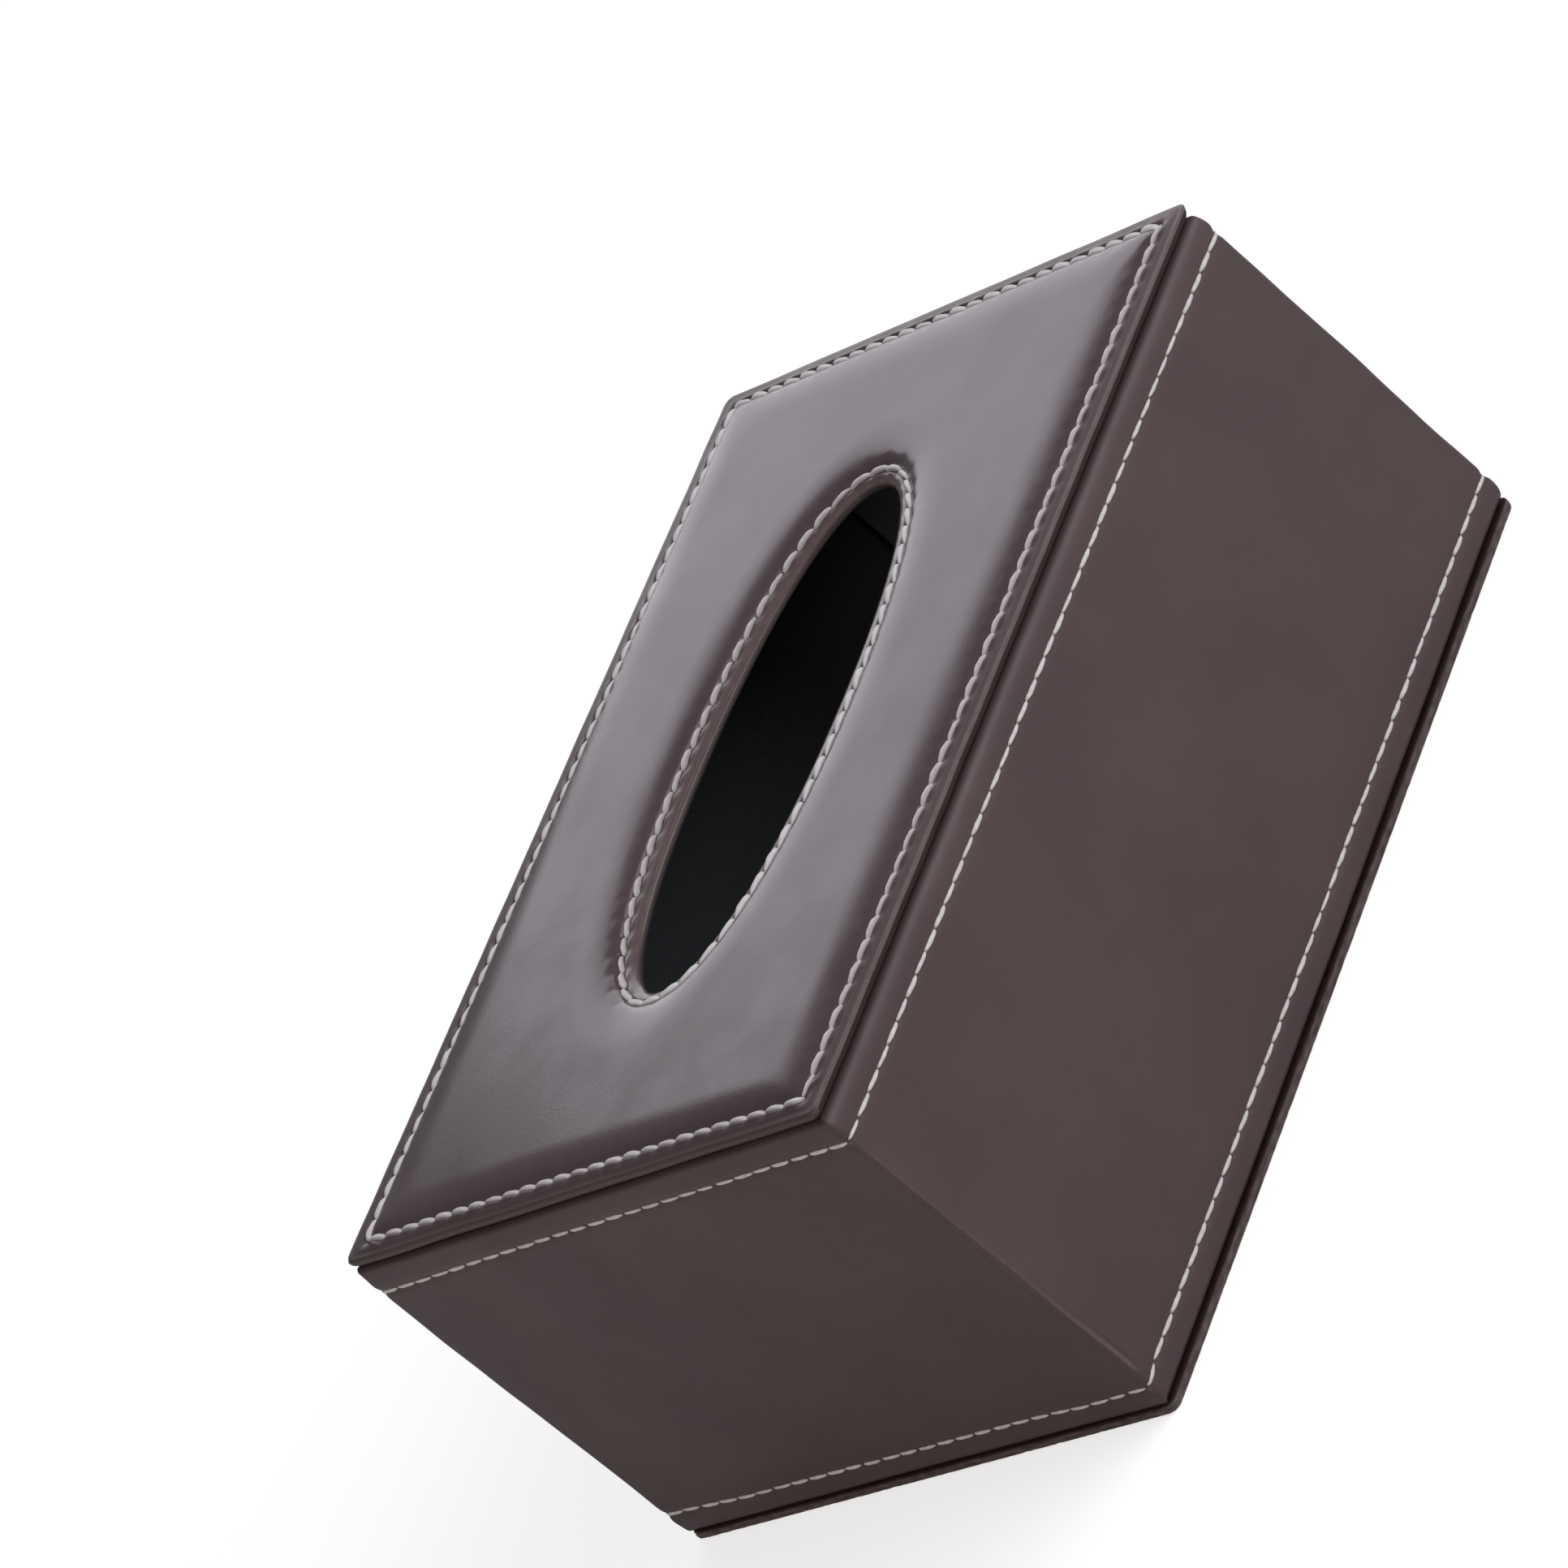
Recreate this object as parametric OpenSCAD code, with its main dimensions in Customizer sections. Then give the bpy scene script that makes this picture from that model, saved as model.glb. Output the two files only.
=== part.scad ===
// Leather covered tissue box cover with a padded top, an oval mouth and a
// hinged base flap that magnets hold shut. Lengths are in millimetres.
// The origin is on the underside, at the middle of the footprint. +X runs
// along the length, the hinge is along the back at +Y, and +Z is up.

/* [Overall size] */
// Outside length of the cover
body_l = 240; // [190:1:300]
// Outside width of the cover
body_w = 152; // [120:1:200]
// Height of the wall band between its two grooves
wall_h = 99.4; // [60:0.1:140]
// Outside radius of the four upright corners
corner_r = 2.5; // [2.2:0.1:6]

/* [Boards] */
// Thickness of the four wall boards
board_t = 3; // [2.4:0.1:5]
// Thickness of the top board
top_board_t = 1.2; // [1:0.1:4]
// Thickness of the base flap's board
base_board_t = 1; // [0.8:0.1:4]
// How far an end board sits in the rebates of the long boards
rebate_depth = 1.5; // [0.5:0.1:2]

/* [Leather] */
// Thickness of the leather
skin_t = 0.8; // [0.5:0.05:1.2]
// Radius of the lips beside the grooves above and below the wall
lip_r = 2.4; // [1.4:0.1:3]
// Radius of the rolled rims of the flap
rim_r = 0.8; // [0.5:0.05:1]
// Width of leather turned in over an edge of the wall
wall_hem_w = 10; // [6:0.5:16]
// Width of leather turned under an edge of the top or over the flap
flat_hem_w = 12; // [8:0.5:20]
// Height of the stitch row above the lower edge of the wall
low_row_up = 7.2; // [4:0.1:12]
// Depth of the stitch row below the upper edge of the wall
high_row_down = 7; // [4:0.1:12]
// Width of the furrow that a stitch row pulls into the leather
row_w = 1.4; // [0.8:0.1:2]
// Depth of the furrow that a stitch row pulls into the leather
row_depth = 0.25; // [0.1:0.05:0.4]

/* [Padded top] */
// Radius of the rolled upper edge of the top and of its mouth
roll_r = 1.6; // [1.2:0.05:2]
// Inset of the sewn channel from the outer edge of the top
edge_channel_in = 6; // [4.5:0.1:9]
// Width of a sewn channel
channel_w = 3; // [2:0.1:4]
// Depth of a sewn channel
channel_depth = 0.5; // [0.3:0.05:1]
// Thickness of the foam where a sewn channel presses it flat
pad_least_t = 0.2; // [0.1:0.05:1]
// Clearance between the foam and the leather over it
pad_gap = 0.1; // [0.05:0.05:0.3]
// Rise of the padded crown above the rims
crown_h = 1.4; // [0.6:0.1:4]
// Width of the crown's slope from a channel up to its level part
slope_w = 10; // [6:0.5:14]

/* [Mouth] */
// Length of the oval mouth
mouth_l = 136; // [100:1:150]
// Width of the oval mouth
mouth_w = 44; // [34:1:60]
// Inset of the sewn channel from the edge of the mouth
mouth_channel_in = 4.5; // [3.7:0.1:6]
// Width of the facing that is glued under the top board round the mouth
facing_w = 9; // [6:0.5:14]

/* [Linings] */
// Thickness of the lining cloth
lining_t = 0.5; // [0.3:0.05:0.75]

/* [Base flap] */
// Gap between the closed flap and the wall
flap_gap = 0.2; // [0.1:0.05:0.4]
// Height of the hinge strip on the back wall
hinge_up = 16; // [10:0.5:20]
// Width of the hinge strip under the flap
hinge_under = 14; // [10:0.5:24]

/* [Catch] */
// Length of a magnet and of the steel plate below it
magnet_l = 20; // [10:1:30]
// Thickness of a magnet, front to back
magnet_t = 1.8; // [1:0.1:2]
// Height of a magnet
magnet_h = 4; // [2:0.1:8]
// Distance of a magnet's middle from the end of the cover
magnet_end = 48; // [25:1:70]
// Width of a steel plate, front to back
plate_w = 6; // [4:0.1:10]
// Thickness of a steel plate
plate_t = 0.5; // [0.3:0.05:0.7]
// Clearance round a magnet or a plate in its pocket
pocket_gap = 0.1; // [0.05:0.05:0.2]

/* [Hidden] */

// Overrun of a cut past the faces that it opens
over = 1;
// Least radius of a line that turns a corner of the top
least_r = 1;
// Squareness of the oval mouth, where 2 is a plain ellipse
mouth_power = 2.2;
// Segments of a full round edge
round_steps = 48;
// Steps along each side of the top between its corner arcs
side_steps = 8;
// Angle of a corner arc's middle on the mouth's own turn
corner_turn = 45;
// Angle from one spoke of the padded top to the next
spoke_turn = corner_turn / (side_steps / 2 + 1);

// Heights of the pieces, from the underside up
flap_top = 2 * skin_t + base_board_t;
wall_low = flap_top + flap_gap;
wall_high = wall_low + wall_h;
board_low = wall_low + skin_t;
board_h = wall_h - 2 * skin_t;
panel_low = wall_high;
top_board_low = panel_low + skin_t;
top_board_high = top_board_low + top_board_t;
rim_z = top_board_high + pad_least_t + pad_gap + channel_depth + skin_t;

// The boards are rounded under the lips, so that the leather keeps its thickness
wall_lip_r = min(lip_r, corner_r);
board_round = wall_lip_r - skin_t;
// Bevel round the underside of the top board, as a share of its thickness
bevel_share = 0.8;
top_bevel = top_board_t * bevel_share;
// Height of the ridge round the outside of the top, as a share of its rim's height
ridge_share = 0.7;
ridge_h = (rim_z - panel_low) * ridge_share;

// Half sizes of the frame of boards inside the leather
frame_x = body_l / 2 - skin_t;
frame_y = body_w / 2 - skin_t;
inner_x = frame_x - board_t;
inner_y = frame_y - board_t;
frame_r = corner_r - skin_t;

// Middle of the front board and of the magnets in its lower edge
magnet_x = body_l / 2 - magnet_end;
magnet_y = frame_y - board_t / 2;
plate_y = frame_y - skin_t - plate_w / 2;

// Half length of the hinge strip, which stops short of the round corners
hinge_x = body_l / 2 - corner_r - wall_hem_w / 2;

leather = [0.27, 0.21, 0.20];
thin_leather = [0.23, 0.18, 0.17];
fibreboard = [0.66, 0.52, 0.36];
foam = [0.86, 0.84, 0.78];
lining_cloth = [0.06, 0.06, 0.07];
steel = [0.72, 0.73, 0.75];

// Outlines and solids that several pieces share

module rounded_rect(l, w, r) {
    square([l - 2 * r, w], center = true);
    square([l, w - 2 * r], center = true);
    for (sx = [-1, 1], sy = [-1, 1])
        translate([sx * (l / 2 - r), sy * (w / 2 - r)])
            circle(r, $fn = round_steps);
}

// Upright section of a slab, from root behind zero out to a rolled rim at reach
module rim_section(root, reach, h, r) {
    intersection() {
        translate([-root, 0])
            square([root + reach, h]);
        union() {
            translate([-root - r, 0])
                square([root + reach, h]);
            translate([-root, r])
                square([root + reach, h - 2 * r]);
            for (z = [r, h - r])
                translate([reach - r, z])
                    circle(r, $fn = round_steps);
        }
    }
}

// Slab with round upright corners and with both of its rims rolled
module rolled_slab(l, w, h, r, roll) {
    translate([-l / 2 + r, -w / 2 + r, 0])
        cube([l - 2 * r, w - 2 * r, h]);
    for (side = [0, 180])
        rotate([0, 0, side]) {
            translate([l / 2 - r, w / 2 - r, 0])
                rotate([90, 0, 0])
                    linear_extrude(w - 2 * r)
                        rim_section(r, r, h, roll);
            translate([-l / 2 + r, w / 2 - r, 0])
                rotate([90, 0, 90])
                    linear_extrude(l - 2 * r)
                        rim_section(r, r, h, roll);
        }
    for (sx = [-1, 1], sy = [-1, 1])
        translate([sx * (l / 2 - r), sy * (w / 2 - r), 0])
            rotate_extrude($fn = round_steps)
                rim_section(0, r, h, roll);
}

// Points of the top, one for each spoke, counted from the right-hand end.
// Each corner has the start, the middle and the end of its arc.

function spoke_turns() = [for (t = [0 : spoke_turn : 360 - spoke_turn / 2]) t];

function signed_power(v, p) = sign(v) * pow(abs(v), p);

function oval_point(t, out) = [
    (mouth_l / 2 + out) * signed_power(cos(t), 2 / mouth_power),
    (mouth_w / 2 + out) * signed_power(sin(t), 2 / mouth_power),
];

// Place on the first quarter of a round-cornered rectangle
function quarter_point(t, half_x, half_y, r) =
    t < corner_turn
        ? [half_x, (half_y - r) * t / (corner_turn - spoke_turn)]
        : t > corner_turn
            ? [(half_x - r) * (90 - t) / (corner_turn - spoke_turn), half_y]
            : [half_x - r + r * cos(corner_turn), half_y - r + r * sin(corner_turn)];

function rect_point(t, inset) =
    let (
        fold = t % 180,
        first = fold <= 90 ? fold : 180 - fold,
        r = max(corner_r - inset, least_r),
        at = quarter_point(first, body_l / 2 - inset, body_w / 2 - inset, r),
        sx = t > 90 && t < 270 ? -1 : 1,
        sy = t > 180 ? -1 : 1
    )
    [sx * at[0], sy * at[1]];

function oval_ring(out, z) = [for (t = spoke_turns()) concat(oval_point(t, out), z)];
function rect_ring(inset, z) = [for (t = spoke_turns()) concat(rect_point(t, inset), z)];
function between_ring(share, a, b) =
    [for (i = [0 : len(a) - 1]) a[i] * (1 - share) + b[i] * share];

// Closed skin over a chain of rings, whose last ring joins the first. Each
// square of it is split along its shorter diagonal, so two skins over the
// same rings fit each other face to face.
module ring_solid(rings) {
    n = len(rings[0]);
    count = len(rings);
    at = [for (ring = rings) each ring];
    polyhedron(
        points = at,
        faces = [
            for (j = [0 : count - 1], i = [0 : n - 1])
                let (
                    a = j * n + i,
                    b = j * n + (i + 1) % n,
                    c = (j + 1) % count * n + (i + 1) % n,
                    d = (j + 1) % count * n + i
                )
                each norm(at[a] - at[c]) < norm(at[b] - at[d])
                    ? [[a, b, c], [a, c, d]]
                    : [[a, b, d], [b, c, d]]
        ]
    );
}

module mouth_outline(out) {
    polygon([for (t = spoke_turns()) oval_point(t, out)]);
}

module edge_outline(inset) {
    polygon([for (t = spoke_turns()) rect_point(t, inset)]);
}

// The frame of boards: the long boards run past the ends of the short ones,
// which sit in rebates, and all four share one outline with rounded edges.

module frame_form() {
    translate([0, 0, board_low])
        rolled_slab(2 * frame_x, 2 * frame_y, board_h, frame_r, board_round);
}

module frame_block(low, high) {
    intersection() {
        frame_form();
        translate([low[0], low[1], board_low])
            cube([high[0] - low[0], high[1] - low[1], board_h]);
    }
}

module long_board() {
    difference() {
        frame_block([-frame_x, -frame_y], [frame_x, -inner_y]);
        for (side = [-1, 1])
            translate([side * (frame_x - board_t / 2 + over / 2), -inner_y - rebate_depth / 2 + over / 2,
                       board_low + board_h / 2])
                cube([board_t + over, rebate_depth + over, board_h + 2 * over], center = true);
    }
}

module magnet_block(gap) {
    for (side = [-1, 1])
        translate([side * magnet_x, -magnet_y, board_low + (magnet_h - over) / 2])
            cube([magnet_l + 2 * gap, magnet_t + 2 * gap, magnet_h + over], center = true);
}

module front_board() {
    color(fibreboard)
        difference() {
            long_board();
            magnet_block(pocket_gap);
        }
}

module back_board() {
    color(fibreboard)
        mirror([0, 1, 0])
            long_board();
}

module end_board() {
    frame_block([inner_x, -inner_y - rebate_depth], [frame_x, inner_y + rebate_depth]);
}

module left_board() {
    color(fibreboard)
        mirror([1, 0, 0])
            end_board();
}

module right_board() {
    color(fibreboard)
        end_board();
}

module wall_magnets() {
    color(steel)
        intersection() {
            magnet_block(0);
            frame_form();
        }
}

// The wall leather is one strip round all four boards, turned in over their
// upper and lower edges, with a furrow under each of its two stitch rows.

module row_furrow(z) {
    translate([0, 0, z - row_w / 2])
        linear_extrude(row_w)
            difference() {
                rounded_rect(body_l + 2 * over, body_w + 2 * over, corner_r + over);
                rounded_rect(body_l - 2 * row_depth, body_w - 2 * row_depth,
                             corner_r - row_depth);
            }
}

module wall_skin() {
    color(leather)
        difference() {
            translate([0, 0, wall_low])
                rolled_slab(body_l, body_w, wall_h, corner_r, wall_lip_r);
            difference() {
                frame_form();
                translate([-inner_x, -inner_y, wall_low])
                    cube([2 * inner_x, 2 * inner_y, wall_h]);
            }
            translate([0, 0, wall_low - over])
                linear_extrude(wall_h + 2 * over)
                    square([2 * (inner_x - skin_t), 2 * (inner_y - skin_t)], center = true);
            translate([0, 0, wall_low + wall_hem_w])
                linear_extrude(wall_h - 2 * wall_hem_w)
                    rounded_rect(2 * frame_x, 2 * frame_y, frame_r);
            row_furrow(wall_low + low_row_up);
            row_furrow(wall_high - high_row_down);
            translate([-hinge_x, frame_y, wall_low - over])
                cube([2 * hinge_x, skin_t + over, hinge_up + over]);
            translate([-hinge_x, frame_y - over, board_low + board_round / 2])
                cube([2 * hinge_x, skin_t + 2 * over, hinge_up - skin_t - board_round / 2]);
        }
}

// The padded top: a thin board, foam that is pressed flat under the sewn
// channels, and leather that is rolled over the outer edge and into the mouth.

// Rings of the top board's bevel, from its underside up
bevel_rings = [
    rect_ring(skin_t + top_bevel, top_board_low),
    rect_ring(skin_t, top_board_low + top_bevel),
];

module top_board() {
    color(fibreboard)
        ring_solid(concat(
            bevel_rings,
            [rect_ring(skin_t, top_board_high)],
            [oval_ring(skin_t, top_board_high)],
            [oval_ring(skin_t, top_board_low)]
        ));
}

// Share of the slope's width and of the crown's rise at each step up it
slope_shares = [[0.35, 0.6], [1, 0.94]];

// Rings of the crown from the outer channel to the mouth's, lowered by drop
function crown_rings(drop) =
    let (
        outer = [for (s = slope_shares)
            rect_ring(edge_channel_in + channel_w / 2 + slope_w * s[0],
                      rim_z + crown_h * s[1] - drop)],
        inner = [for (s = slope_shares)
            oval_ring(mouth_channel_in + channel_w / 2 + slope_w * s[0],
                      rim_z + crown_h * s[1] - drop)],
        level = [for (p = between_ring(0.5, outer[1], inner[1]))
            [p[0], p[1], rim_z + crown_h - drop]]
    )
    [outer[0], outer[1], level, inner[1], inner[0]];

// Rings of the underside of the top leather, and of the foam at a gap below it
function foam_rings(gap) =
    let (drop = skin_t + gap, crown = crown_rings(drop), low = rim_z - drop)
    [
        rect_ring(drop, low),
        rect_ring(edge_channel_in, low - channel_depth),
        crown[0],
        crown[2],
        crown[4],
        oval_ring(mouth_channel_in, low - channel_depth),
        oval_ring(drop, low),
    ];

module top_pad() {
    color(foam)
        ring_solid(concat(
            [rect_ring(skin_t + pad_gap, top_board_high)],
            foam_rings(pad_gap),
            [oval_ring(skin_t + pad_gap, top_board_high)]
        ));
}

module top_skin() {
    half = channel_w / 2;
    under = foam_rings(0);
    rings = concat(
        [rect_ring(flat_hem_w, panel_low)],
        [for (a = [0, 45, 90])
            rect_ring(lip_r * (1 - sin(a)), panel_low + ridge_h * (1 - cos(a)))],
        [for (a = [45, 90])
            rect_ring(roll_r * (1 - cos(a)), panel_low + ridge_h + (rim_z - panel_low - ridge_h) * sin(a))],
        [rect_ring(edge_channel_in - half, rim_z)],
        [rect_ring(edge_channel_in, rim_z - channel_depth)],
        [rect_ring(edge_channel_in + half, rim_z)],
        crown_rings(0),
        [oval_ring(mouth_channel_in + half, rim_z)],
        [oval_ring(mouth_channel_in, rim_z - channel_depth)],
        [oval_ring(mouth_channel_in - half, rim_z)],
        [for (a = [90, 45, 0])
            oval_ring(roll_r * (1 - cos(a)), rim_z - roll_r * (1 - sin(a)))],
        [oval_ring(skin_t, rim_z - roll_r)],
        [for (i = [len(under) - 1 : -1 : 0]) under[i]],
        [bevel_rings[1], bevel_rings[0]],
        [rect_ring(flat_hem_w, top_board_low)]
    );
    color(leather)
        ring_solid(rings);
}

module mouth_facing() {
    color(thin_leather) {
        translate([0, 0, panel_low])
            linear_extrude(rim_z - roll_r - panel_low)
                difference() {
                    mouth_outline(skin_t);
                    mouth_outline(0);
                }
        translate([0, 0, panel_low])
            linear_extrude(skin_t)
                difference() {
                    mouth_outline(facing_w);
                    mouth_outline(0);
                }
    }
}

// Lining cloth, glued to the boards between the turned-in edges

module top_lining() {
    color(lining_cloth)
        translate([0, 0, top_board_low - lining_t])
            linear_extrude(lining_t)
                difference() {
                    edge_outline(flat_hem_w);
                    mouth_outline(facing_w);
                }
}

module lining_sheet(low_x, low_y, size_x, size_y) {
    color(lining_cloth)
        translate([low_x, low_y, wall_low + wall_hem_w])
            cube([size_x, size_y, wall_h - 2 * wall_hem_w]);
}

module front_lining() {
    lining_sheet(-inner_x, -inner_y, 2 * inner_x, lining_t);
}

module back_lining() {
    lining_sheet(-inner_x, inner_y - lining_t, 2 * inner_x, lining_t);
}

module left_lining() {
    lining_sheet(-inner_x, lining_t - inner_y, lining_t, 2 * (inner_y - lining_t));
}

module right_lining() {
    lining_sheet(inner_x - lining_t, lining_t - inner_y, lining_t, 2 * (inner_y - lining_t));
}

// The hinge is one strip of leather, let in flush with the back wall and with
// the flap's back edge and underside. It bends at the gap between its leaves.

module hinge_wall_leaf() {
    color(thin_leather)
        difference() {
            translate([-hinge_x, frame_y, wall_low])
                cube([2 * hinge_x, skin_t, hinge_up]);
            row_furrow(wall_low + low_row_up);
        }
}

// Section of the flap's leaf, under the flap and up its back edge
module flap_leaf_section() {
    difference() {
        union() {
            translate([body_w / 2 - hinge_under, 0])
                square([hinge_under - rim_r, flap_top]);
            translate([body_w / 2 - rim_r, rim_r])
                circle(rim_r, $fn = round_steps);
            translate([body_w / 2 - 2 * rim_r, rim_r])
                square([2 * rim_r, flap_top - rim_r]);
        }
        translate([body_w / 2 - hinge_under - over, skin_t])
            square([hinge_under + over - skin_t, flap_top]);
    }
}

// Section of the place in the flap's leather that the leaf is let into
module flap_leaf_place() {
    difference() {
        translate([body_w / 2 - hinge_under, -over])
            square([hinge_under + over, flap_top + 2 * over]);
        translate([body_w / 2 - hinge_under - over, flap_top - skin_t])
            square([hinge_under + over - skin_t, skin_t + 2 * over]);
    }
}

module along_hinge() {
    translate([-hinge_x, 0, 0])
        rotate([90, 0, 90])
            linear_extrude(2 * hinge_x)
                children();
}

module hinge_flap_leaf() {
    color(thin_leather)
        along_hinge()
            flap_leaf_section();
}

// The base flap: a board wrapped in leather, with steel plates under the magnets

module flap_board() {
    color(fibreboard)
        difference() {
            translate([0, 0, skin_t])
                linear_extrude(base_board_t)
                    rounded_rect(2 * frame_x, 2 * frame_y, frame_r);
            plate_block(pocket_gap, over);
        }
}

module plate_block(gap, rise) {
    for (side = [-1, 1])
        translate([side * magnet_x - magnet_l / 2 - gap, -plate_y - plate_w / 2 - gap,
                   skin_t + base_board_t - plate_t])
            cube([magnet_l + 2 * gap, plate_w + 2 * gap, plate_t + rise]);
}

module flap_skin() {
    color(leather)
        difference() {
            rolled_slab(body_l, body_w, flap_top, corner_r, rim_r);
            translate([0, 0, skin_t])
                linear_extrude(base_board_t)
                    rounded_rect(2 * frame_x, 2 * frame_y, frame_r);
            translate([0, 0, skin_t + base_board_t / 2])
                linear_extrude(flap_top)
                    square([body_l - 2 * flat_hem_w, body_w - 2 * flat_hem_w], center = true);
            along_hinge()
                flap_leaf_place();
        }
}

module flap_lining() {
    color(lining_cloth)
        translate([0, 0, skin_t + base_board_t])
            linear_extrude(lining_t)
                square([body_l - 2 * flat_hem_w, body_w - 2 * flat_hem_w], center = true);
}

module flap_plates() {
    color(steel)
        plate_block(0, 0);
}

front_board();
back_board();
left_board();
right_board();
wall_skin();
top_board();
top_pad();
top_skin();
mouth_facing();
top_lining();
front_lining();
back_lining();
left_lining();
right_lining();
wall_magnets();
hinge_wall_leaf();
hinge_flap_leaf();
flap_board();
flap_skin();
flap_lining();
flap_plates();
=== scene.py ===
"""Looks of the leather tissue box cover. Shapes are worked out in millimetres and stored in metres."""

import math

import bpy
import numpy as np
from mathutils import Matrix, Vector


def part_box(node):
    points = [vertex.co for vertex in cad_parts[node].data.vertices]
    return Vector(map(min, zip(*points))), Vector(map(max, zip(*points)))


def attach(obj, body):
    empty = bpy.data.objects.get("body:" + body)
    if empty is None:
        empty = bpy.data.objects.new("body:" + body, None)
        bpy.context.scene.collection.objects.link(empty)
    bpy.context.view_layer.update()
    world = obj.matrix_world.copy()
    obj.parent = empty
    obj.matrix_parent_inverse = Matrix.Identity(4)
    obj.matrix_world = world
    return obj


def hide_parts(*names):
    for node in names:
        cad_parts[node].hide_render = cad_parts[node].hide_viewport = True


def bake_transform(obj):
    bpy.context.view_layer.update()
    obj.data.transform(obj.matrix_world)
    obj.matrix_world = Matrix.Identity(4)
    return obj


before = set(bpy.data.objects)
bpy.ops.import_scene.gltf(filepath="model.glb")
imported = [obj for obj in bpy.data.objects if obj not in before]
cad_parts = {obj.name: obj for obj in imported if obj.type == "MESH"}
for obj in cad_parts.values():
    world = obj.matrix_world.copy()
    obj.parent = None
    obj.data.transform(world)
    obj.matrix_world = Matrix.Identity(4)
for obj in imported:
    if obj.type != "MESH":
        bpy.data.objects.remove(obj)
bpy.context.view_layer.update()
scene = bpy.context.scene

MM = 0.001


def node_box(name):
    """Lower and upper corner of a node's solids, in millimetres."""
    low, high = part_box(name)
    return np.array(low) / MM, np.array(high) / MM


# Levels and half sizes of the solids that the soft pieces replace
top_low, top_high = node_box("top_skin")
PANEL_LOW = top_low[2]
HALF = top_high[:2]
CROWN_Z = top_high[2]
WALL_LOW, WALL_HIGH = (corner[2] for corner in node_box("wall_skin"))
BOARD_LOW, BOARD_HIGH = (corner[2] for corner in node_box("front_board"))
TOP_BOARD_LOW, TOP_BOARD_HIGH = (corner[2] for corner in node_box("top_board"))
FLAP_HIGH = node_box("flap_skin")[1][2]
FLAP_BOARD_HIGH = node_box("flap_board")[1][2]
STRIP_X, _, STRIP_HIGH = node_box("hinge_wall_leaf")[1]
STRIP_IN = node_box("hinge_flap_leaf")[0][1]

# Thickness of the leather and of the wall boards, the air between two pieces, and the leather's inner side
SKIN = 0.8
BOARD = 3.0
SLIT = 0.05
INSIDE = SKIN - SLIT
# How deep the leather is thinned to let in the hinge strip, and the strip's own thickness
LET_IN = SKIN - 0.12
STRIP_THICK = SKIN - 0.14
# Radii of the top's corners, the flap's rims, the wall's lips and corners, and the boards under the lips
CORNER_R = 2.5
RIM_R = 0.8
LIP_R = 2.4
WALL_CORNER_R = 1.5
BOARD_ROUND = LIP_R - SKIN
# Width of the leather turned in on the wall and on the flat pieces
WALL_HEM = 10.0
FLAT_HEM = 12.0
# Edge of the mouth: its half sizes, the power of its oval, and the width of the facing below it
MOUTH = np.array([68.0, 22.0])
MOUTH_POWER = 2.2
FACING = 9.0
# Levels of the top leather: the rims under its crown, the thin ridge over the groove, the leather at its two
# stitch rows, the foot of the mouth's rim, and the bevel of the board below
CROWN = 1.4
RIM_Z = CROWN_Z - CROWN
RIDGE_Z = PANEL_LOW + 0.7 * (RIM_Z - PANEL_LOW)
EDGE_LOW = RIM_Z - 1.1
MOUTH_LOW = RIM_Z - 1.3
MOUTH_END = RIM_Z - 2.3
TOP_BEVEL = 0.8 * (TOP_BOARD_HIGH - TOP_BOARD_LOW)
# Stitch rows: insets of the two on the top, levels of the two on the wall, and how deep those are sunk
EDGE_ROW = 5.35
EDGE_ROW_R = 1.6
MOUTH_ROW = 5.0
LOW_ROW = WALL_LOW + 7.2
HIGH_ROW = WALL_HIGH - 7.0
ROW_DIP = 0.3


# Columns of a ring-shaped skin

def unit(vectors):
    """Vectors cut to a length of 1."""
    return vectors / np.linalg.norm(vectors, axis=-1, keepdims=True)


def pairs(values):
    """Values as rows of one or two numbers that can be spread over columns of plan points."""
    values = np.atleast_1d(values)
    return values[:, None, :] if values.ndim == 2 else values[:, None, None]


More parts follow.
